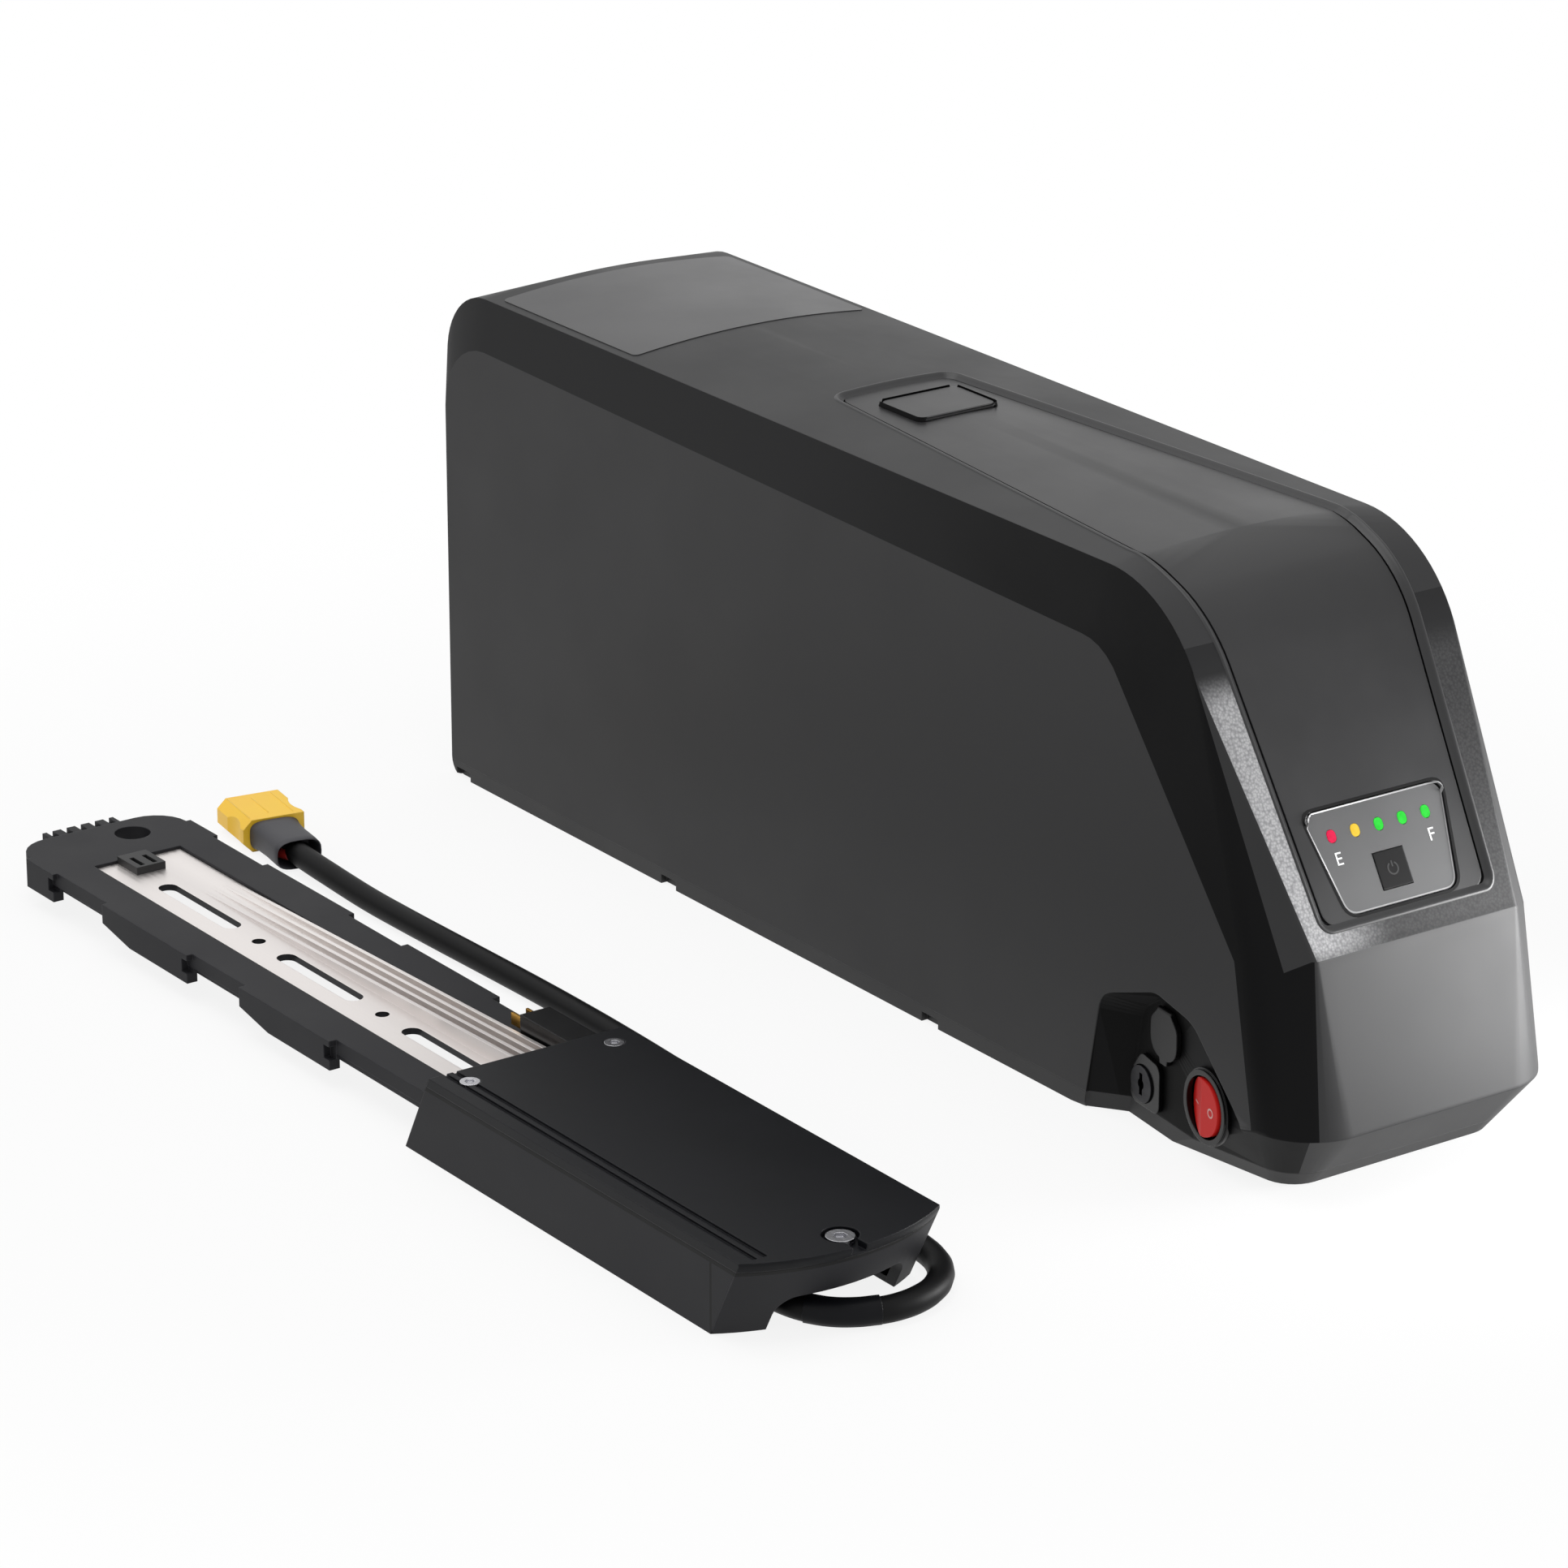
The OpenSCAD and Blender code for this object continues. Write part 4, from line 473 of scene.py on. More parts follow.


# %% Every finish by its slot
# Slot: dark tone, light tone, gloss, grain, depth and edge in millimetres, tone of worn edges
# (partly a painted highlight), shine
PLASTICS = {
    "case_plastic": ("232324", "29292a", 0.5, 0.45, 0.012, 0.5, "2e2e2f", 0.3),
    # The rim, band and pocket rows are darker than the case: painted shade. The rim also gets a
    # painted sheen below.
    "case_rim": ("040405", "08080a", 0.45, 0.45, 0.01, 0.5, "1c1c1d", 0.18),
    "case_band": ("1c1c1d", "222223", 0.5, 0.45, 0.008, 0.5, "222223", 0.12),
    "case_pocket": ("020202", "060606", 0.6, 0.45, 0.01, 0.8, "161617", 0.1),
    "band_plastic": ("141415", "1a1a1b", 0.55, 0.45, 0.012, 0.4, "252526", 0.5),
    # The inlay's lighter worn tone is mostly a painted highlight along its edge.
    "inlay_film": ("242425", "2a2a2b", 0.36, 0.3, 0.004, 0.35, "4a4a4b", 0.34),
    "recess_shoulder": ("262627", "2c2c2d", 0.38, 0.3, 0.004, 0.1, "2c2c2d", 0.4),
    "gasket_rubber": ("101011", "161617", 0.7, 0.6, 0.02, 0.2, "161617", 0.5),
    "cap_rubber": ("050506", "0a0a0b", 0.4, 0.4, 0.01, 0.5, "1a1a1b", 0.3),
    "display_face": ("4e4e4f", "545455", 0.5, 0.3, 0.004, 0.2, "6a6a6b", 0.3),
    "border_grey": ("8a8a8b", "9c9c9d", 0.4, 0.3, 0.003, 0.05, "9c9c9d", 0.5),
    "button_black": ("060607", "0a0a0b", 0.5, 0.5, 0.015, 0.5, "242425", 0.12),
    "label_satin": ("3c3c3d", "424243", 0.36, 0.5, 0.003, 0.1, "424243", 0.35),
    "switch_black": ("030304", "060607", 0.24, 0.4, 0.003, 0.4, "1c1c1d", 0.3),
    "rocker_red": ("c11410", "cc1a15", 0.5, 0.4, 0.004, 0.4, "d0302a", 0.25),
    "print_white": ("dcdcdc", "ececec", 0.5, 0.2, 0.002, 0.05, "ececec", 0.5),
    "print_grey": ("0c0c0d", "121213", 0.4, 0.2, 0.002, 0.05, "121213", 0.5),
    "print_pink": ("cf9a96", "deaaa6", 0.5, 0.2, 0.002, 0.05, "deaaa6", 0.5),
    "rail_plastic": ("17171a", "1f1f22", 0.6, 0.5, 0.02, 0.5, "3f3f43", 0.25),
    "lid_plastic": ("08090c", "0c0d11", 0.42, 0.4, 0.006, 0.5, "2c2c30", 0.14),
    "cable_rubber": ("060607", "0b0b0c", 0.5, 0.6, 0.015, 0.2, "0b0b0c", 0.14),
    "sleeve_grey": ("333337", "3c3c41", 0.5, 0.6, 0.02, 0.4, "5a5a5e", 0.4),
    "plug_yellow": ("fcc31e", "ffcf34", 0.4, 0.5, 0.01, 0.4, "ffdc74", 0.5),
    "board_green": ("0f3a22", "16502f", 0.35, 0.6, 0.01, 0.1, "c8a256", 0.5),
    "chip_black": ("121213", "19191a", 0.45, 0.2, 0.01, 0.15, "2a2a2b", 0.5),
    "cell_wrap": ("1f5c3a", "276b46", 0.3, 0.6, 0.006, 0.3, "3b8059", 0.5),
    "holder_white": ("c9c9c4", "d9d9d4", 0.5, 0.5, 0.02, 0.3, "e9e9e6", 0.5),
    "foam_grey": ("4c4c4e", "67676a", 0.95, 1.2, 0.3, 0.5, "67676a", 0.5),
    "lead_sleeve": ("7d1512", "97201a", 0.4, 0.6, 0.01, 0.2, "97201a", 0.5),
    "can_blue": ("1d2a4d", "26355e", 0.3, 0.5, 0.004, 0.3, "8a94a8", 0.5),
}
# Slot: dark tone, light tone, gloss
METALS = {
    "steel_dark": ("6b6a6c", "858486", 0.36),
    "steel_bright": ("b8b8bc", "d6d6da", 0.24),
    "lock_steel": ("29292b", "39393c", 0.35),
    "aluminium_plate": ("dcd7d5", "ece7e4", 0.42),
    "brass_contact": ("b8893c", "d4a650", 0.28),
    "nickel": ("a8a49c", "c4c0b8", 0.3),
}
# Slot: tone at the rim, tone in the middle
LENSES = {
    "red_light": ("d60f43", "f01a52"),
    "yellow_light": ("f0c230", "f8d548"),
    "green_light": ("1fce30", "35e845"),
}
finishes = {}
for maker, rows in ((moulded, PLASTICS), (metal, METALS), (lit, LENSES)):
    for slot_name, values in rows.items():
        finishes[slot_name] = maker(slot_name.replace("_", " "), *values)
for entry in frame["record"]["subparts"]:
    solid = solids[entry["node"]]
    solid.data.materials.clear()
    solid.data.materials.append(finishes[entry["material_slot"]])
print("finishes:", len(finishes))

# %% [markdown]
# ## Seams of the rail and cut edges of its plate
# The controller box and the rail are one dark plastic, and what parts them from the lid and the end
# cap is a thin shadow. The walls of the plate's slots and holes, which face sideways, are darker
# than the rolled face. A seam could be a real groove and a wall a piece of its own, but a dark
# colour where the place or the normal says so does both without a change to the mesh.

# %% Dark seams under the lid and beside the end cap
LID_SEAM = (0.0207, 0.0221)
CAP_SEAM = (0.1826, 0.1836)
rail_tree = finishes["rail_plastic"].node_tree
rail_spot = axes_of(rail_tree)
for axis, (low, high) in (("Z", LID_SEAM), ("X", CAP_SEAM)):
    after = maths(rail_tree, "GREATER_THAN", rail_spot[axis], low)
    before = maths(rail_tree, "LESS_THAN", rail_spot[axis], high)
    lay_colour(rail_tree, maths(rail_tree, "MULTIPLY", after, before), "000000")
print("rail seams:", LID_SEAM, CAP_SEAM)

# %% Darker cut edges on the aluminium plate, but not on its fins
FINS_START_Y = -0.1012
EDGE_FACING = (0.3, 0.6)
plate_tree = finishes["aluminium_plate"].node_tree
upward = maths(plate_tree, "ABSOLUTE", axes_of(plate_tree, "Normal")["Z"])
before_fins = maths(plate_tree, "LESS_THAN", axes_of(plate_tree)["Y"], FINS_START_Y)
sideways = ramp(plate_tree, upward, *EDGE_FACING, 1.0, 0.0)
lay_colour(plate_tree, maths(plate_tree, "MULTIPLY", before_fins, sideways), "29292b")
print("plate edges are dark where Y is below", FINS_START_Y)

# %% [markdown]
# ## Painted sheen on the rim and painted shade on the band of the case
# The rim round the recess has a painted highlight on its near side: a pale speckled sheen that ends
# in a soft curved border and fades towards the top and the far side. Elsewhere the rim is near
# black, which is painted shade. The band beside it has painted shade, nearly black at the nose and
# paler towards the rear. The sheen could be a piece of its own, but its border is no edge of the
# mesh. So the border is worked out in the shader, as a distance from a slanted line beside the
# recess and from a level below it.

# %% Painted sheen on the rim of the slope
RIM_BORDER_Y, RIM_BORDER_LEAN, RIM_WIDTH = 0.0608, 0.077, 0.0135
RIM_BORDER_Z, RIM_HEIGHT = 0.0752, 0.0072
RIM_BORDER_SOFT = (0.93, 1.0)
RIM_TOP_Z = (0.12, 0.1415)
# Axis, where the painted sheen is full, where it has faded, and the share that is left
RIM_FADES = (("Z", 0.131, 0.141, 0.0), ("Y", 0.053, 0.08, 0.1))
RIM_INNER_FADE = (0.4, 1.0, 1.0, 0.45)
RIM_SPECKLE, SPECKLE_SPAN = 1250.0, (0.15, 0.85)
rim_tree = finishes["case_rim"].node_tree
rim_spot = axes_of(rim_tree)
# The rim's near-black tone is painted shade; towards the top it turns dark grey.
lay_colour(rim_tree, ramp(rim_tree, rim_spot["Z"], *RIM_TOP_Z), "1d1d1e")


def rim_share(distance, width):
    """How far into the border a distance reaches: 0 at its start, 1 at its end."""
    scaled = maths(rim_tree, "MULTIPLY", distance, 1 / width)
    return maths(rim_tree, "MAXIMUM", scaled, 0.0)


lean = maths(rim_tree, "MULTIPLY", rim_spot["Z"], RIM_BORDER_LEAN)
border_y = maths(rim_tree, "SUBTRACT", RIM_BORDER_Y, lean)
beside = rim_share(maths(rim_tree, "SUBTRACT", border_y, rim_spot["Y"]), RIM_WIDTH)
below = rim_share(maths(rim_tree, "SUBTRACT", RIM_BORDER_Z, rim_spot["Z"]), RIM_HEIGHT)
reach = add_node(rim_tree, "CombineXYZ")
rim_tree.links.new(beside, reach.inputs[0])
rim_tree.links.new(below, reach.inputs[1])
across = add_node(rim_tree, "VectorMath", operation="LENGTH")
rim_tree.links.new(reach.outputs[0], across.inputs[0])
rim_sheen_mask = ramp(rim_tree, across.outputs["Value"], *RIM_BORDER_SOFT, 1.0, 0.0)
for axis, full, faded, left in RIM_FADES:
    kept_share = ramp(rim_tree, rim_spot[axis], full, faded, 1.0, left)
    rim_sheen_mask = maths(rim_tree, "MULTIPLY", rim_sheen_mask, kept_share)
inner_share = ramp(rim_tree, across.outputs["Value"], *RIM_INNER_FADE)
rim_sheen_mask = maths(rim_tree, "MULTIPLY", rim_sheen_mask, inner_share)
speckle = add_node(rim_tree, "TexVoronoi", {"Scale": RIM_SPECKLE}, feature="F1")
rim_coords = rim_tree.nodes["Texture Coordinate"].outputs["Object"]
rim_tree.links.new(rim_coords, speckle.inputs["Vector"])
# Painted highlight: a pale speckled sheen where the light glances off the near side of the rim.
painted_rim_sheen = two_tones(rim_tree, speckle.outputs["Distance"], "a8a8a9", "7c7c7e", SPECKLE_SPAN)
lay_colour(rim_tree, rim_sheen_mask, painted_rim_sheen)
print("rim border starts at Y", RIM_BORDER_Y, "and Z", RIM_BORDER_Z)

# %% Painted shade on the band, darker towards the nose
BAND_PALE_X, BAND_DARK_X = -0.05, 0.13
band_tree = finishes["case_band"].node_tree
nose_painted_shade = ramp(band_tree, axes_of(band_tree)["X"], BAND_PALE_X, BAND_DARK_X)
# Painted shade: the band turns nearly black towards the nose.
lay_colour(band_tree, nose_painted_shade, "030304")
print("band darkens from X", BAND_PALE_X, "to", BAND_DARK_X)

# %% [markdown]
# ## Smooth copies of the moulded shells
# The case and its covers are made of flat facets, and plastic from a mould has none. Each shell is
# copied, its points are merged, and the copy is shaded smooth up to its real corners. Weighted
# normals keep the large flat faces flat beside their small round edges, which plain smooth shading
# would bend. On the case's copy, the band, the pocket and the rim then get their own finishes face
# by face, by where a face lies and which way it looks, because they are areas of one moulding.
# These finishes paint shade on the band and in the pocket, and a highlight and shade on the rim.

# %% Which body and slot each node has
body_of = {
    node: body
    for body, nodes in frame["record"]["behaviour"]["bodies"].items()
    for node in nodes
}
slot_of = {entry["node"]: entry["material_slot"] for entry in frame["record"]["subparts"]}
print("nodes on bodies:", len(body_of))

# %% Band, pocket and rim of the case
MIDDLE_Y = 0.086
BAND_ASIDE = (0.0445, 0.0492)
BAND_FACING = (0.6, 0.9985)
POCKET_X, POCKET_Y, POCKET_TOP = (0.085, 0.2), (0.0374, 0.06), 0.066
NOSE_CORNER_X, NOSE_CORNER_Y, NOSE_CORNER_TOP = 0.18, 0.05, 0.07
NOSE_CORNER_FACING = (0.5, 0.9985)
RIM_FACING = 0.985
NOSE_EDGE_X, NOSE_EDGE_TOP, UPRIGHT_SHARE = 0.188, 0.0705, 0.6
PLAIN, BAND, HOLLOW, RIM = range(4)


def within(value, span):
    """True where a value lies inside a span."""
    return span[0] < value < span[1]


def area_of(face):
    """The area of the case that a face belongs to, as the index of its finish."""
    x, y, z = face.center
    sideways = abs(face.normal.y)
    # Faces that look out of the slope get the rim's painted sheen and shade.
    if face.normal.dot(slope_out) > RIM_FACING:
        return RIM
    # The band's faces, and those at the nose's corner, get the band's painted shade.
    if within(sideways, BAND_FACING) and within(abs(y - MIDDLE_Y), BAND_ASIDE):
        return BAND
    at_corner = x > NOSE_CORNER_X and y < NOSE_CORNER_Y and z < NOSE_CORNER_TOP
    if at_corner and within(sideways, NOSE_CORNER_FACING):
        return BAND
    # The pocket's faces get a near-black tone: painted shade in the recess.
    if within(x, POCKET_X) and within(y, POCKET_Y) and z < POCKET_TOP:
        return HOLLOW
    return PLAIN


def dress_parts(mesh):
    """Gives the areas their finishes, with a sharp edge between them except up the nose."""
    for area_slot in ("case_band", "case_pocket", "case_rim"):
        mesh.materials.append(finishes[area_slot])
    areas = [area_of(face) for face in mesh.polygons]
    mesh.polygons.foreach_set("material_index", areas)
    sides = {}
    for face, area in zip(mesh.polygons, areas):
        for key in face.edge_keys:
            sides.setdefault(key, set()).add(area)
    for edge in mesh.edges:
        one, two = (mesh.vertices[i].co for i in edge.vertices)
        upright = abs(one.z - two.z) > UPRIGHT_SHARE * (one - two).length
        if upright and min(one.x, two.x) > NOSE_EDGE_X and max(one.z, two.z) < NOSE_EDGE_TOP:
            edge.use_edge_sharp = False
        elif len(sides.get(tuple(sorted(edge.vertices)), ())) > 1:
            edge.use_edge_sharp = True
    print("band, pocket and rim faces:", [areas.count(area) for area in (BAND, HOLLOW, RIM)])


# %% Merged and smooth copies
MERGE_DISTANCE = 0.005
SMOOTH_UP_TO = {
    "main_housing": 32.0,
    "bottom_cover": 32.0,
    "top_inlay": 32.0,
    "rating_label": 20.0,
    "end_cap": 32.0,
    "controller_lid": 32.0,
}


def merged(node):
    """A CAD node's loose triangles as a bmesh with its points merged."""
    shape = bmesh.new()
    shape.from_mesh(solids[node].data)
    bmesh.ops.remove_doubles(shape, verts=shape.verts, dist=MERGE_DISTANCE * MM)
    return shape


def smooth_copy(node, sharp):
    """A merged copy of a solid that stands for it and is smooth up to its corners."""
    slot_name = slot_of[node]
    finish = finishes[slot_name]
    piece = make_piece(
        "smooth_" + node, merged(node), body_of[node], finish, slot_name, [node], sharp
    )
    if node == "main_housing":
        dress_parts(piece.data)
    even = piece.modifiers.new("even shading", "WEIGHTED_NORMAL")
    even.mode = "FACE_AREA"
    even.keep_sharp = True
    return piece


for node, sharp in SMOOTH_UP_TO.items():
    piece = smooth_copy(node, sharp)
    print(piece.name, len(piece.data.polygons), "faces")

# %% [markdown]
# ## The shoulder of the recess
# The recess on top and on the slope has no sharp edge: its wall rolls over into the case's skin and
# catches the light as a soft line. A bevel on the case would have to run over three surfaces that
# meet in one another, so the case's own upper edges are picked out instead, put in order, and a
# rounded strip is laid from each of them down to the inlay.

# %% Lip of the recess
TOP_END_X, TOP_Z = 0.124, 0.1632
ARC_X, ARC_Z, ARC_RADIUS, ARC_FOOT_Z = 0.1241, 0.119, 0.0428, 0.135
SLOPE_SKIN = -0.0012
LIP_ASIDE, LIP_REAR_X, LIP_FOOT_Z, LIP_ANGLE = 0.039, -0.06, 0.07, 0.9


def outside(point):
    """True where a point lies on the case's skin and not on the recess's floor."""
    if point.x < TOP_END_X and point.z > TOP_Z:
        return True
    from_arc = math.hypot(point.x - ARC_X, point.z - ARC_Z)
    if point.x >= TOP_END_X and from_arc > ARC_RADIUS and point.z > ARC_FOOT_Z:
        return True
    return (point - SLOPE.translation).dot(slope_out) > SLOPE_SKIN


def on_lip(edge):
    """True for a convex edge of the case that runs round the recess."""
    middle = (edge.verts[0].co + edge.verts[1].co) / 2
    aside = abs(middle.y - MIDDLE_Y)
    near = aside < LIP_ASIDE and middle.x > LIP_REAR_X and middle.z > LIP_FOOT_Z
    turned = edge.is_manifold and edge.is_convex and edge.calc_face_angle(0.0) > LIP_ANGLE
    return near and turned and outside(middle)


def in_order(edges):
    """The points of joined edges, one after another."""
    near = {}
    for edge in edges:
        for one, two in (edge.verts, reversed(edge.verts)):
            near.setdefault(one, []).append(two)
    here = next((v for v in near if len(near[v]) == 1), next(iter(near)))
    points, last = [here], None
    while True:
        onward = [v for v in near[here] if v is not last and v not in points[-3:]]
        if not onward or len(points) > len(near):
            return [v.co.copy() for v in points]
        last, here = here, onward[0]
        points.append(here)


case_shape = merged("main_housing")
lip_edges = [edge for edge in case_shape.edges if on_lip(edge)]
lip_points = in_order(lip_edges)
print("lip edges:", len(lip_edges), "in order:", len(lip_points))
case_shape.free()

# %% Rounded strip along the lip
# How far inwards from the lip and how far below it, in millimetres
LIP_PROFILE = (
    (-0.75, 0.02),
    (-0.45, -0.2),
    (0.0, -0.28),
    (0.4, -0.1),
    (0.9, 0.38),
    (1.5, 0.9),
    (2.0, 1.22),
)
OPEN_END_GAP = 0.12
middle_of_recess = sum(lip_points, Vector()) / len(lip_points)


def skin_normal(point):
    """Which way the case's skin faces at a point of the lip: up, out of the arc or the slope."""
    if point.x < ARC_X:
        return Vector((0, 0, 1))
    away = Vector((point.x - ARC_X, 0, point.z - ARC_Z)).normalized()
    return away if away.z > slope_out.z else slope_out


def along_lip(i):
    """The direction of the lip at its i-th point."""
    return (lip_points[(i + 1) % len(lip_points)] - lip_points[i - 1]).normalized()


def beside_lip(i, inward_mm, down_mm):
    """A place beside the lip's i-th point, towards the recess and into it."""
    point = lip_points[i]
    out = skin_normal(point)
    inward = out.cross(along_lip(i)).normalized()
    if inward.dot(middle_of_recess - point) < 0:
        inward = -inward
    return point + inward * inward_mm * MM - out * down_mm * MM


shoulder = bmesh.new()
rows = [
    [shoulder.verts.new(beside_lip(i, *step)) for i in range(len(lip_points))]
    for step in LIP_PROFILE
]
for upper, lower in zip(rows, rows[1:]):
    for i in range(len(lip_points)):
        k = (i + 1) % len(lip_points)
        if (lip_points[i] - lip_points[k]).length < OPEN_END_GAP:
            shoulder.faces.new((upper[i], upper[k], lower[k], lower[i]))
for face in shoulder.faces:
    if face.normal.dot(skin_normal(face.calc_center_median())) < 0:
        face.normal_flip()
shoulder = make_piece(
    "recess_shoulder", shoulder, "battery", finishes["recess_shoulder"], "case_plastic", sharp=80.0
)
print("shoulder faces:", len(shoulder.data.polygons))

# %% [markdown]
# ## The power cable
# A round rubber cable of 7.5 mm leaves the gland inside the end cap, comes out through the arch,
# turns back in one loop on the floor and runs along the rail to its plug. The whole cable shows, so
# its length is the photograph's. A curve with a round section is chosen over a mesh: it keeps the
# exact length and bends smoothly through listed points. The same helper makes the short shrink
# sleeve that sits on the loop.

# %% Cable route, in millimetres
CABLE_RADIUS = 3.75
ROUTE = [
    (173.2, -114, 5), (180, -114, 5), (186, -113, 4.7), (191.8, -110.5, 4.3), (197, -106.5, 4),
    (201.1, -101.2, 3.9), (203.6, -95.1, 3.9), (204.5, -88.5, 3.9), (203.6, -81.9, 3.9),
    (201.1, -75.8, 3.9), (197, -70.5, 3.9), (191.8, -66.5, 3.9), (185.6, -63.9, 3.9),
    (177, -62.4, 3.9), (165, -61, 3.9), (149, -59, 3.9), (130, -56.4, 3.9), (108, -53.6, 3.9),
    (84, -51.2, 3.9), (60, -49.4, 3.9), (36, -48.1, 3.9), (12, -47.3, 3.9), (-12, -47, 3.9),
    (-36, -47.2, 3.9), (-60, -47.8, 3.9), (-84, -48.5, 3.9), (-106, -49, 3.9), (-124, -49.2, 4),
    (-137, -49.3, 4.5), (-148, -49.3, 5), (-156, -49.1, 5.2), (-163, -48.7, 5.3), (-169, -48, 5.3),
]  # fmt: skip


def round_strand(name, points, radius):
    """Curve data for a capped round strand through points, all in millimetres."""
    data = bpy.data.curves.new(name, "CURVE")
    data.dimensions = "3D"
    data.resolution_u = 6
    data.bevel_depth = radius * MM
    data.bevel_resolution = 5
    data.use_fill_caps = True
    strand = data.splines.new("BEZIER")
    strand.bezier_points.add(len(points) - 1)
    for knot, place_mm in zip(strand.bezier_points, points):
        knot.co = Vector(place_mm) * MM
        knot.handle_left_type = knot.handle_right_type = "AUTO"
    return data


# %% The cable
cable_data = round_strand("cable", ROUTE, CABLE_RADIUS)
cable = bpy.data.objects.new("cable", cable_data)
bpy.context.collection.objects.link(cable)
cable_data.materials.append(finishes["cable_rubber"])
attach(cable, "base")
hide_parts("power_cable")
bpy.context.view_layer.update()

# %% Shrink sleeve on the loop
SHRINK_WALL = 0.35
SHRINK_CLEAR = 0.01
SHRINK_KNOTS = slice(3, 7)


def mesh_of(name, data):
    """The mesh that a curve or a text makes, as a bmesh."""
    holder = bpy.data.objects.new(name, data)
    flat = bpy.data.meshes.new_from_object(holder)
    bpy.data.objects.remove(holder)
    shape = bmesh.new()
    shape.from_mesh(flat)
    return shape


shrink_lowest = CABLE_RADIUS + SHRINK_WALL + SHRINK_CLEAR
shrink_route = [(x, y, max(z, shrink_lowest)) for x, y, z in ROUTE[SHRINK_KNOTS]]
shrink_data = round_strand("shrink_sleeve", shrink_route, CABLE_RADIUS + SHRINK_WALL)
shrink_shape = mesh_of("shrink_holder", shrink_data)
shrink = make_piece("shrink_sleeve", shrink_shape, "base", finishes["lid_plastic"], "lid_plastic")
print("shrink sleeve faces:", len(shrink.data.polygons))

# %% [markdown]
# ## The plug's sleeve and its two leads
# The plug is a yellow nylon block for two round contacts, and a grey heat-shrink sleeve holds the
# two leads to it. The sleeve has an open, flared mouth in which the leads show as they part from
# the cable. All of them could be extruded, but their sides curve, so each is built as rings that
# are bridged: an oval that changes along its way, or a circle that sways to its side.


# %% Rings that are joined to a closed tube
def edges_of(verts):
    """The edges that meet at any of the points."""
    return list({edge for vert in verts for edge in vert.link_edges})


def oval_ring(shape, along, half_width, half_height, power, steps=28):
    """A ring across the X axis, round for power 2 and squarer above."""
    made = bmesh.ops.create_circle(shape, cap_ends=False, radius=1.0, segments=steps)
    for vert in made["verts"]:
        angle = math.atan2(vert.co.y, vert.co.x)
        c, s = math.cos(angle), math.sin(angle)
        y = math.copysign(abs(c) ** (2 / power), c) * half_width
        z = math.copysign(abs(s) ** (2 / power), s) * half_height
        vert.co = Vector((along, y, z)) * MM
    return edges_of(made["verts"])


def skin_over(shape, loops):
    """Bridges the rings one after another and closes the first and the last."""
    for one, two in zip(loops, loops[1:]):
        bmesh.ops.bridge_loops(shape, edges=one + two)
    for loop in (loops[0], loops[-1]):
        bmesh.ops.contextual_create(shape, geom=loop)
    bmesh.ops.recalc_face_normals(shape, faces=shape.faces)


PLUG_TURN = math.radians(-9.0)
PLUG = Matrix.Translation(Vector(ROUTE[-1]) * MM) @ Matrix.Rotation(math.pi + PLUG_TURN, 4, "Z")

# %% Grey sleeve over the leads, with an open mouth on the cable's side
# Along the plug, half width and half height in millimetres, and how square the oval is
SLEEVE_RINGS = (
    (4.5, 6.2, 3.4, 2.6),
    (0.0, 6.9, 4.2, 2.8),
    (-2.6, 7.1, 4.35, 2.9),
    (-3.0, 7.35, 4.6, 3.0),
    (-2.6, 7.6, 4.85, 3.0),
    (0.0, 7.65, 4.9, 3.1),
    (8.0, 7.5, 4.7, 3.3),
    (14.0, 7.7, 4.75, 3.5),
    (17.4, 8.3, 4.85, 3.8),
    (18.0, 8.1, 4.7, 3.8),
)
sleeve = bmesh.new()
skin_over(sleeve, [oval_ring(sleeve, *ring) for ring in SLEEVE_RINGS])
place(sleeve, PLUG)
sleeve = make_piece(
    "plug_boot", sleeve, "base", finishes["sleeve_grey"], "sleeve_grey", ["plug_sleeve"]
)
print("sleeve faces:", len(sleeve.data.polygons))

# %% Two leads from the cable's end into the plug
LEAD_RADIUS = 1.6
LEAD_SINK = -0.8
# Along the plug and away from its middle, in millimetres
LEAD_PATH = ((-1.0, 2.1), (0.6, 3.2), (2.4, 4.3), (4.4, 4.5))


def lead_shape(side):
    """A thin round lead that leaves the cable and turns to its own side of the plug."""
    shape = bmesh.new()
    loops = []
    for along, sway in LEAD_PATH:
        made = bmesh.ops.create_circle(
            shape, cap_ends=False, radius=LEAD_RADIUS * MM, segments=16
        )
        turned = Matrix.Translation(Vector((along, side * sway, LEAD_SINK)) * MM)
        turned = turned @ Matrix.Rotation(math.pi / 2, 4, "Y")
        bmesh.ops.transform(shape, matrix=turned, verts=made["verts"])
        loops.append(edges_of(made["verts"]))
    skin_over(shape, loops)
    place(shape, PLUG)
    return shape


lead_finish, cable_finish = finishes["lead_sleeve"], finishes["cable_rubber"]
red_lead = make_piece("red_lead", lead_shape(1), "base", lead_finish, "lead_sleeve")
black_lead = make_piece("black_lead", lead_shape(-1), "base", cable_finish, "cable_rubber")
print("lead faces:", len(red_lead.data.polygons), len(black_lead.data.polygons))

# %% [markdown]
# ## Raised lines on the plug
# The plug's mould has left a line along the middle of its top, and a rib stands at each of its
# edges. They are only about a tenth of a millimetre high, too fine for the imported solid, so they
# are three flat bars with softened edges.

# %% Moulded line and end ribs on the plug
RIB_HALF_HEIGHT = 0.12
RIB_SOFTNESS = 0.06
RIB_ALONG, RIB_TOP = 29.5, 5.3
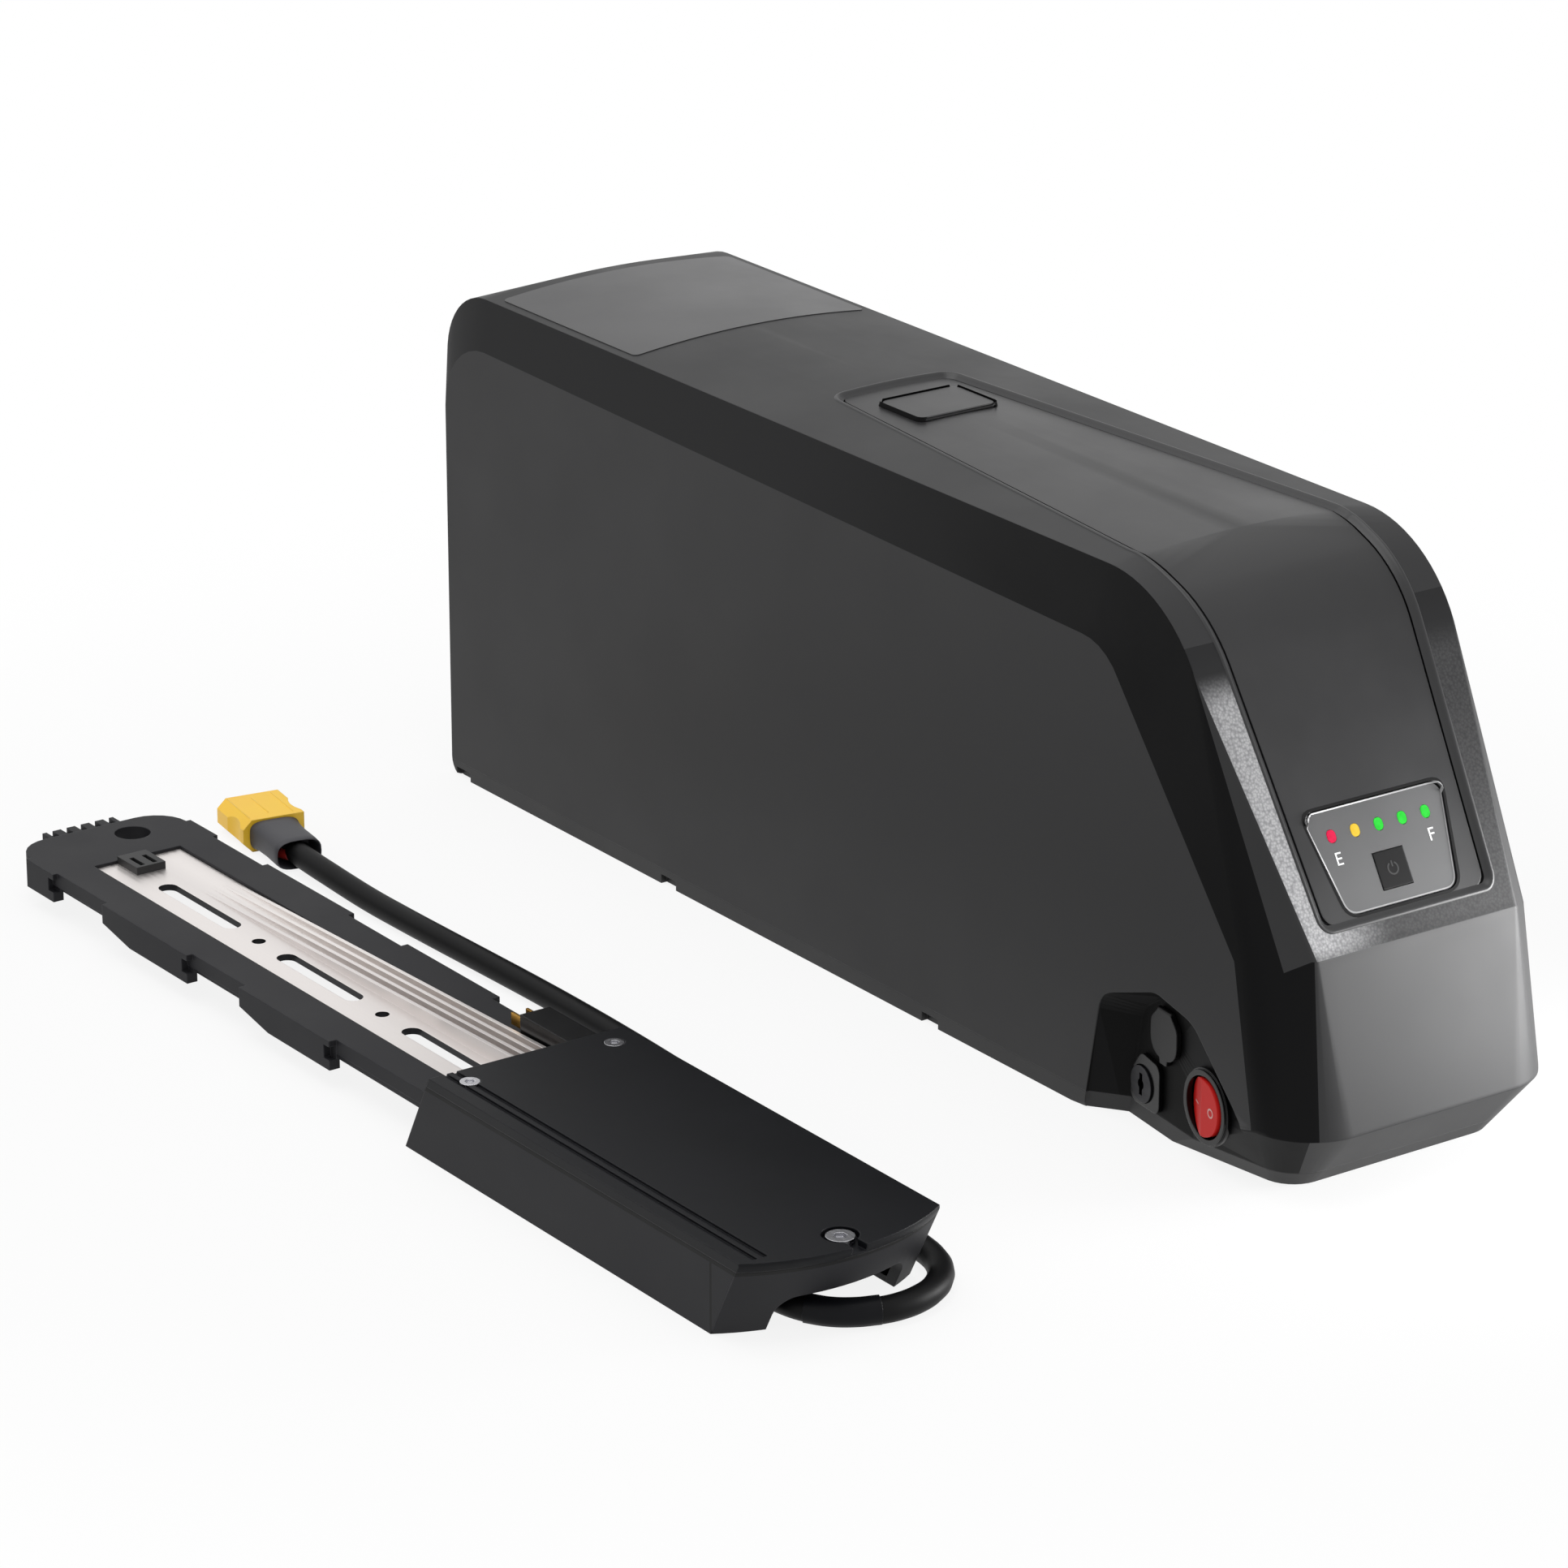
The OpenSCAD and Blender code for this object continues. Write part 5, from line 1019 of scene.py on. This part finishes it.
# Across the plug, half length and half width in millimetres
RIBS = ((0.0, 7.0, 0.22), (-7.4, 9.4, 0.2), (7.2, 9.4, 0.2))
bar_shape = bmesh.new()
for aside, half_x, half_y in RIBS:
    made = bmesh.ops.create_cube(bar_shape, size=2.0)
    half_sizes = Vector((half_x, half_y, RIB_HALF_HEIGHT)) * MM
    bmesh.ops.scale(bar_shape, vec=half_sizes, verts=made["verts"])
    seat = Vector((RIB_ALONG, aside, RIB_TOP)) * MM
    bmesh.ops.translate(bar_shape, vec=seat, verts=made["verts"])
soften(bar_shape, RIB_SOFTNESS * MM)
place(bar_shape, PLUG)
plug_ribs = make_piece("plug_ribs", bar_shape, "base", finishes["plug_yellow"], "plug_yellow")
print("rib faces:", len(plug_ribs.data.polygons))

# %% [markdown]
# ## Flat marks that follow a surface
# A printed mark or a thin line has no height to speak of. It could be a picture on the material, but
# a flat mesh keeps its edge sharp at any distance, so each mark is drawn flat, set over the surface
# by a matrix, and dropped onto it point by point. Text is turned into a mesh before it gets its
# place.

# %% Lay a flat mark on a solid
MARK_LIFT = 0.06
DROP_FROM, DROP_REACH = 0.004, 0.012


def lay_on(shape, node, matrix):
    """Sets a flat mark by the matrix, then drops each point along its Z onto the solid."""
    place(shape, matrix)
    below = bpy.data.objects.get("smooth_" + node) or solids[node]
    ground = BVHTree.FromObject(below, bpy.context.evaluated_depsgraph_get())
    out = (matrix.to_3x3() @ Vector((0, 0, 1))).normalized()
    for vert in shape.verts:
        hit = ground.ray_cast(vert.co + out * DROP_FROM, -out, DROP_REACH)[0]
        if hit is not None:
            vert.co = hit + out * MARK_LIFT * MM
    return shape


def face_up(shape):
    """Turns every face of a flat mark so that it looks along Z."""
    bmesh.ops.recalc_face_normals(shape, faces=shape.faces)
    for face in shape.faces:
        if face.normal.z < 0:
            face.normal_flip()
    return shape


# %% Letters, rings, bars and bands as flat meshes
FULL_TURN = 360.0


def letter(character, height):
    """A flat letter as a bmesh, centred on the origin, its height in millimetres."""
    curve = bpy.data.curves.new("letter", "FONT")
    curve.body = character
    curve.align_x = "CENTER"
    shape = mesh_of("letter", curve)
    xs = [v.co.x for v in shape.verts]
    ys = [v.co.y for v in shape.verts]
    middle = Vector(((min(xs) + max(xs)) / 2, (min(ys) + max(ys)) / 2, 0))
    bmesh.ops.translate(shape, vec=-middle, verts=shape.verts)
    to_height = Vector((1, 1, 1)) * height * MM / (max(ys) - min(ys))
    bmesh.ops.scale(shape, vec=to_height, verts=shape.verts)
    return shape


def ring_mark(radius, width, start=0.0, turn=FULL_TURN, steps=32):
    """A flat ring or part of one, spun from a short line, in millimetres."""
    shape = bmesh.new()
    inner = shape.verts.new(((radius - width / 2) * MM, 0, 0))
    outer = shape.verts.new(((radius + width / 2) * MM, 0, 0))
    line = shape.edges.new((inner, outer))
    place(shape, Matrix.Rotation(math.radians(start), 4, "Z"))
    bmesh.ops.spin(
        shape,
        geom=[inner, outer, line],
        axis=(0, 0, 1),
        cent=(0, 0, 0),
        angle=math.radians(turn),
        steps=steps,
        use_merge=turn == FULL_TURN,
    )
    return face_up(shape)


def bar_mark(half_x, half_y):
    """A flat bar, in millimetres, cut into short steps so that it can follow a curve."""
    shape = bmesh.new()
    bmesh.ops.create_grid(shape, x_segments=6, y_segments=2, size=1.0)
    bmesh.ops.scale(shape, vec=(half_x * MM, half_y * MM, 1), verts=shape.verts)
    return shape


def flat_band(outer, inner):
    """A flat ring between two outlines with the same number of points."""
    shape = bmesh.new()
    ring_out = [shape.verts.new((x * MM, y * MM, 0)) for x, y in outer]
    ring_in = [shape.verts.new((x * MM, y * MM, 0)) for x, y in inner]
    for i in range(len(outer)):
        k = (i + 1) % len(outer)
        shape.faces.new((ring_out[i], ring_out[k], ring_in[k], ring_in[i]))
    return face_up(shape)


# %% [markdown]
# ## Lines round the display and the badge
# The display's plate has a thin pale border and stands in a narrow gap, and a fine dark line runs
# round the badge. The gap could be cut into the inlay, but it is under a millimetre wide, and its
# shadow is all that shows, so that shadow is painted as a black band. So all three are flat bands
# between two outlines.

# %% Border of the display and painted shadow of its gap
DISPLAY_FOOT_HALF, DISPLAY_HEAD_HALF = 19.5, 25
DISPLAY_FOOT, DISPLAY_HEAD = 3, 33
DISPLAY_CORNER = 4
BORDER_OUTER, BORDER_INNER = -0.15, -0.55
GAP_OUTER, GAP_INNER, GAP_DEPTH = 1.1, 0.25, 1.15


def panel_outline(grow, steps=6):
    """The display's outline, wider at its top, with round corners, in millimetres."""
    foot, head = DISPLAY_FOOT_HALF + grow, DISPLAY_HEAD_HALF + grow
    low, high = DISPLAY_FOOT - grow, DISPLAY_HEAD + grow
    corners = [(-foot, low), (foot, low), (head, high), (-head, high)]
    points = []
    for i, corner in enumerate(corners):
        here = Vector(corner)
        before = (Vector(corners[i - 1]) - here).normalized()
        after = (Vector(corners[(i + 1) % 4]) - here).normalized()
        for step in range(steps + 1):
            share = step / steps
            one = here + before * (DISPLAY_CORNER + grow) * (1 - share)
            two = here + after * (DISPLAY_CORNER + grow) * share
            points.append(one.lerp(two, share))
    return points


border = flat_band(panel_outline(BORDER_OUTER), panel_outline(BORDER_INNER))
lay_on(border, "display_bezel", SLOPE)
make_piece("display_border", border, "battery", finishes["border_grey"])
# A black band painted where the gap round the display is in shadow.
gap_shadow = flat_band(panel_outline(GAP_OUTER), panel_outline(GAP_INNER))
place(gap_shadow, on_slope(0, 0, -GAP_DEPTH))
make_piece("display_gap_shadow", gap_shadow, "battery", finishes["switch_black"])
print("display border and gap laid")

# %% Thin dark line round the badge
BADGE_MIDDLE = (-17, 86, 166)
BADGE_HALF_X, BADGE_HALF_Y, BADGE_CORNER = 11, 14.5, 2.2
BADGE_LINE = 0.3


def badge_outline(grow):
    """The badge's outline with round corners, in millimetres."""
    return rounded_corners(BADGE_HALF_X + grow, BADGE_HALF_Y + grow, BADGE_CORNER + grow)


seam = flat_band(badge_outline(BADGE_LINE), badge_outline(0.0))
lay_on(seam, "top_inlay", Matrix.Translation(Vector(BADGE_MIDDLE) * MM))
make_piece("badge_seam", seam, "battery", finishes["button_black"])
print("badge line laid")

# %% [markdown]
# ## Marks on the display, the button and the switch
# The display has a white E and F for empty and full, the button a ring with a bar, and the rocker a
# dash and a ring for on and off. Each is a letter, a bar or a spun ring from the helpers above, and
# it rides on the part that it is printed on, so it moves with the button or the rocker.

# %% E and F on the display
LETTER_HEIGHT = 3.6
LETTER_ASIDE, LETTER_RISE = 16.6, 18.9
for character, side in (("E", -1), ("F", 1)):
    mark = letter(character, LETTER_HEIGHT)
    lay_on(mark, "display_bezel", on_slope(side * LETTER_ASIDE, LETTER_RISE))
    mark = make_piece("mark_" + character, mark, "battery", finishes["print_white"])
    print(mark.name, len(mark.data.polygons), "faces")

# %% Ring and bar on the button
BUTTON_RISE, BAR_RISE = 12.6, 13.9
open_ring = ring_mark(1.7, 0.45, start=120.0, turn=300.0)
ring = lay_on(open_ring, "power_button", on_slope(0, BUTTON_RISE))
make_piece("button_ring", ring, "button", finishes["print_grey"])
bar = lay_on(bar_mark(0.22, 0.85), "power_button", on_slope(0, BAR_RISE))
make_piece("button_bar", bar, "button", finishes["print_grey"])
print("button marks at", BUTTON_RISE, "and", BAR_RISE, "mm up the slope")

# %% Dash and ring on the rocker
ROCKER_ALONG, ROCKER_UP, ROCKER_OUT = 44, 18, 4
DASH_BACK, CIRCLE_AHEAD = 4.6, 4.4
dash_place = in_pocket(ROCKER_ALONG - DASH_BACK, ROCKER_UP, ROCKER_OUT)
dash = lay_on(bar_mark(1.5, 0.25), "switch_rocker", dash_place)
make_piece("rocker_dash", dash, "rocker", finishes["print_pink"])
circle_place = in_pocket(ROCKER_ALONG + CIRCLE_AHEAD, ROCKER_UP, ROCKER_OUT)
circle = lay_on(ring_mark(1.2, 0.5), "switch_rocker", circle_place)
make_piece("rocker_ring", circle, "rocker", finishes["print_pink"])
print("rocker marks laid")

# %% [markdown]
# ## Floor, background and light
# The set stands on a plain white floor under soft studio light. The floor is a matt white plane
# that keeps the shadows near the set, and further out it turns into the white background, so that no
# edge shows. The light is one wide soft lamp above and a small weak one beside the nose, which the
# nose shows as a sheen, and the world is an even white. More lamps would be brighter, but they would
# leave more highlights than the photograph has.

# %% Floor
FLOOR_HALF = 20.0
FLOOR_WHITE = 0.86
FLOOR_FADE_START, FLOOR_FADE_END = 0.24, 0.5
floor_shape = bmesh.new()
bmesh.ops.create_grid(floor_shape, x_segments=1, y_segments=1, size=FLOOR_HALF)
floor_mesh = bpy.data.meshes.new("floor")
floor_shape.to_mesh(floor_mesh)
floor_shape.free()
floor = bpy.data.objects.new("floor", floor_mesh)
bpy.context.collection.objects.link(floor)
paper, tree, shader, coords = blank_finish("paper floor")
shader.inputs["Base Color"].default_value = (FLOOR_WHITE, FLOOR_WHITE, FLOOR_WHITE, 1)
shader.inputs["Roughness"].default_value = 0.9
shader.inputs["Specular IOR Level"].default_value = 0.1
white = add_node(tree, "Emission", {"Color": (1, 1, 1, 1), "Strength": 1.0})
distance = add_node(tree, "VectorMath", operation="LENGTH")
tree.links.new(coords, distance.inputs[0])
fade_span = (FLOOR_FADE_START, FLOOR_FADE_END, FLOOR_WHITE)
fade = ramp(tree, distance.outputs["Value"], *fade_span)
path = add_node(tree, "LightPath")
seen = maths(tree, "MAXIMUM", path.outputs["Is Camera Ray"], path.outputs["Is Glossy Ray"])
blend = add_node(tree, "MixShader")
tree.links.new(maths(tree, "MULTIPLY", fade, seen), blend.inputs[0])
tree.links.new(shader.outputs[0], blend.inputs[1])
tree.links.new(white.outputs[0], blend.inputs[2])
tree.links.new(blend.outputs[0], tree.nodes["Material Output"].inputs["Surface"])
floor_mesh.materials.append(paper)
print("floor fades to white from", FLOOR_FADE_START, "to", FLOOR_FADE_END)

# %% World
SKY_LIGHT, SKY_SEEN = 0.62, 1.0
world = bpy.data.worlds.new("studio")
bpy.context.scene.world = world
world.use_nodes = True
sky = world.node_tree
sky.nodes["Background"].inputs["Color"].default_value = (1, 1, 1, 1)
rays = add_node(sky, "LightPath").outputs
seen = maths(sky, "MAXIMUM", rays["Is Camera Ray"], rays["Is Transmission Ray"])
seen = maths(sky, "MAXIMUM", seen, rays["Is Glossy Ray"])
level = ramp(sky, seen, 0.0, 1.0, SKY_LIGHT, SKY_SEEN, kind="LINEAR")
sky.links.new(level, sky.nodes["Background"].inputs["Strength"])
print("world lights with", SKY_LIGHT)


# %% Lamps
def soft_lamp(name, away, aim, size, power, spread=3.14):
    """A soft lamp at a place in metres that looks at its aim."""
    data = bpy.data.lights.new(name, "AREA")
    data.shape = "RECTANGLE"
    data.size, data.size_y = size
    data.energy = power
    data.spread = spread
    lamp = bpy.data.objects.new(name, data)
    lamp.location = away
    lamp.rotation_mode = "QUATERNION"
    lamp.rotation_quaternion = (Vector(aim) - Vector(away)).to_track_quat("-Z", "Y")
    lamp.visible_camera = False
    bpy.context.collection.objects.link(lamp)


soft_lamp(
    "lamp_above", away=(-0.2, -0.3, 1.7), aim=(0.0, 0.0, 0.06), size=(1.4, 1.4), power=12.5
)
soft_lamp(
    "lamp_nose",
    away=(0.3, 0.25, 0.06),
    aim=(0.215, 0.13, 0.04),
    size=(0.14, 0.12),
    power=0.38,
    spread=1.6,
)
bpy.context.scene.view_settings.view_transform = "Standard"
print("lamps set")
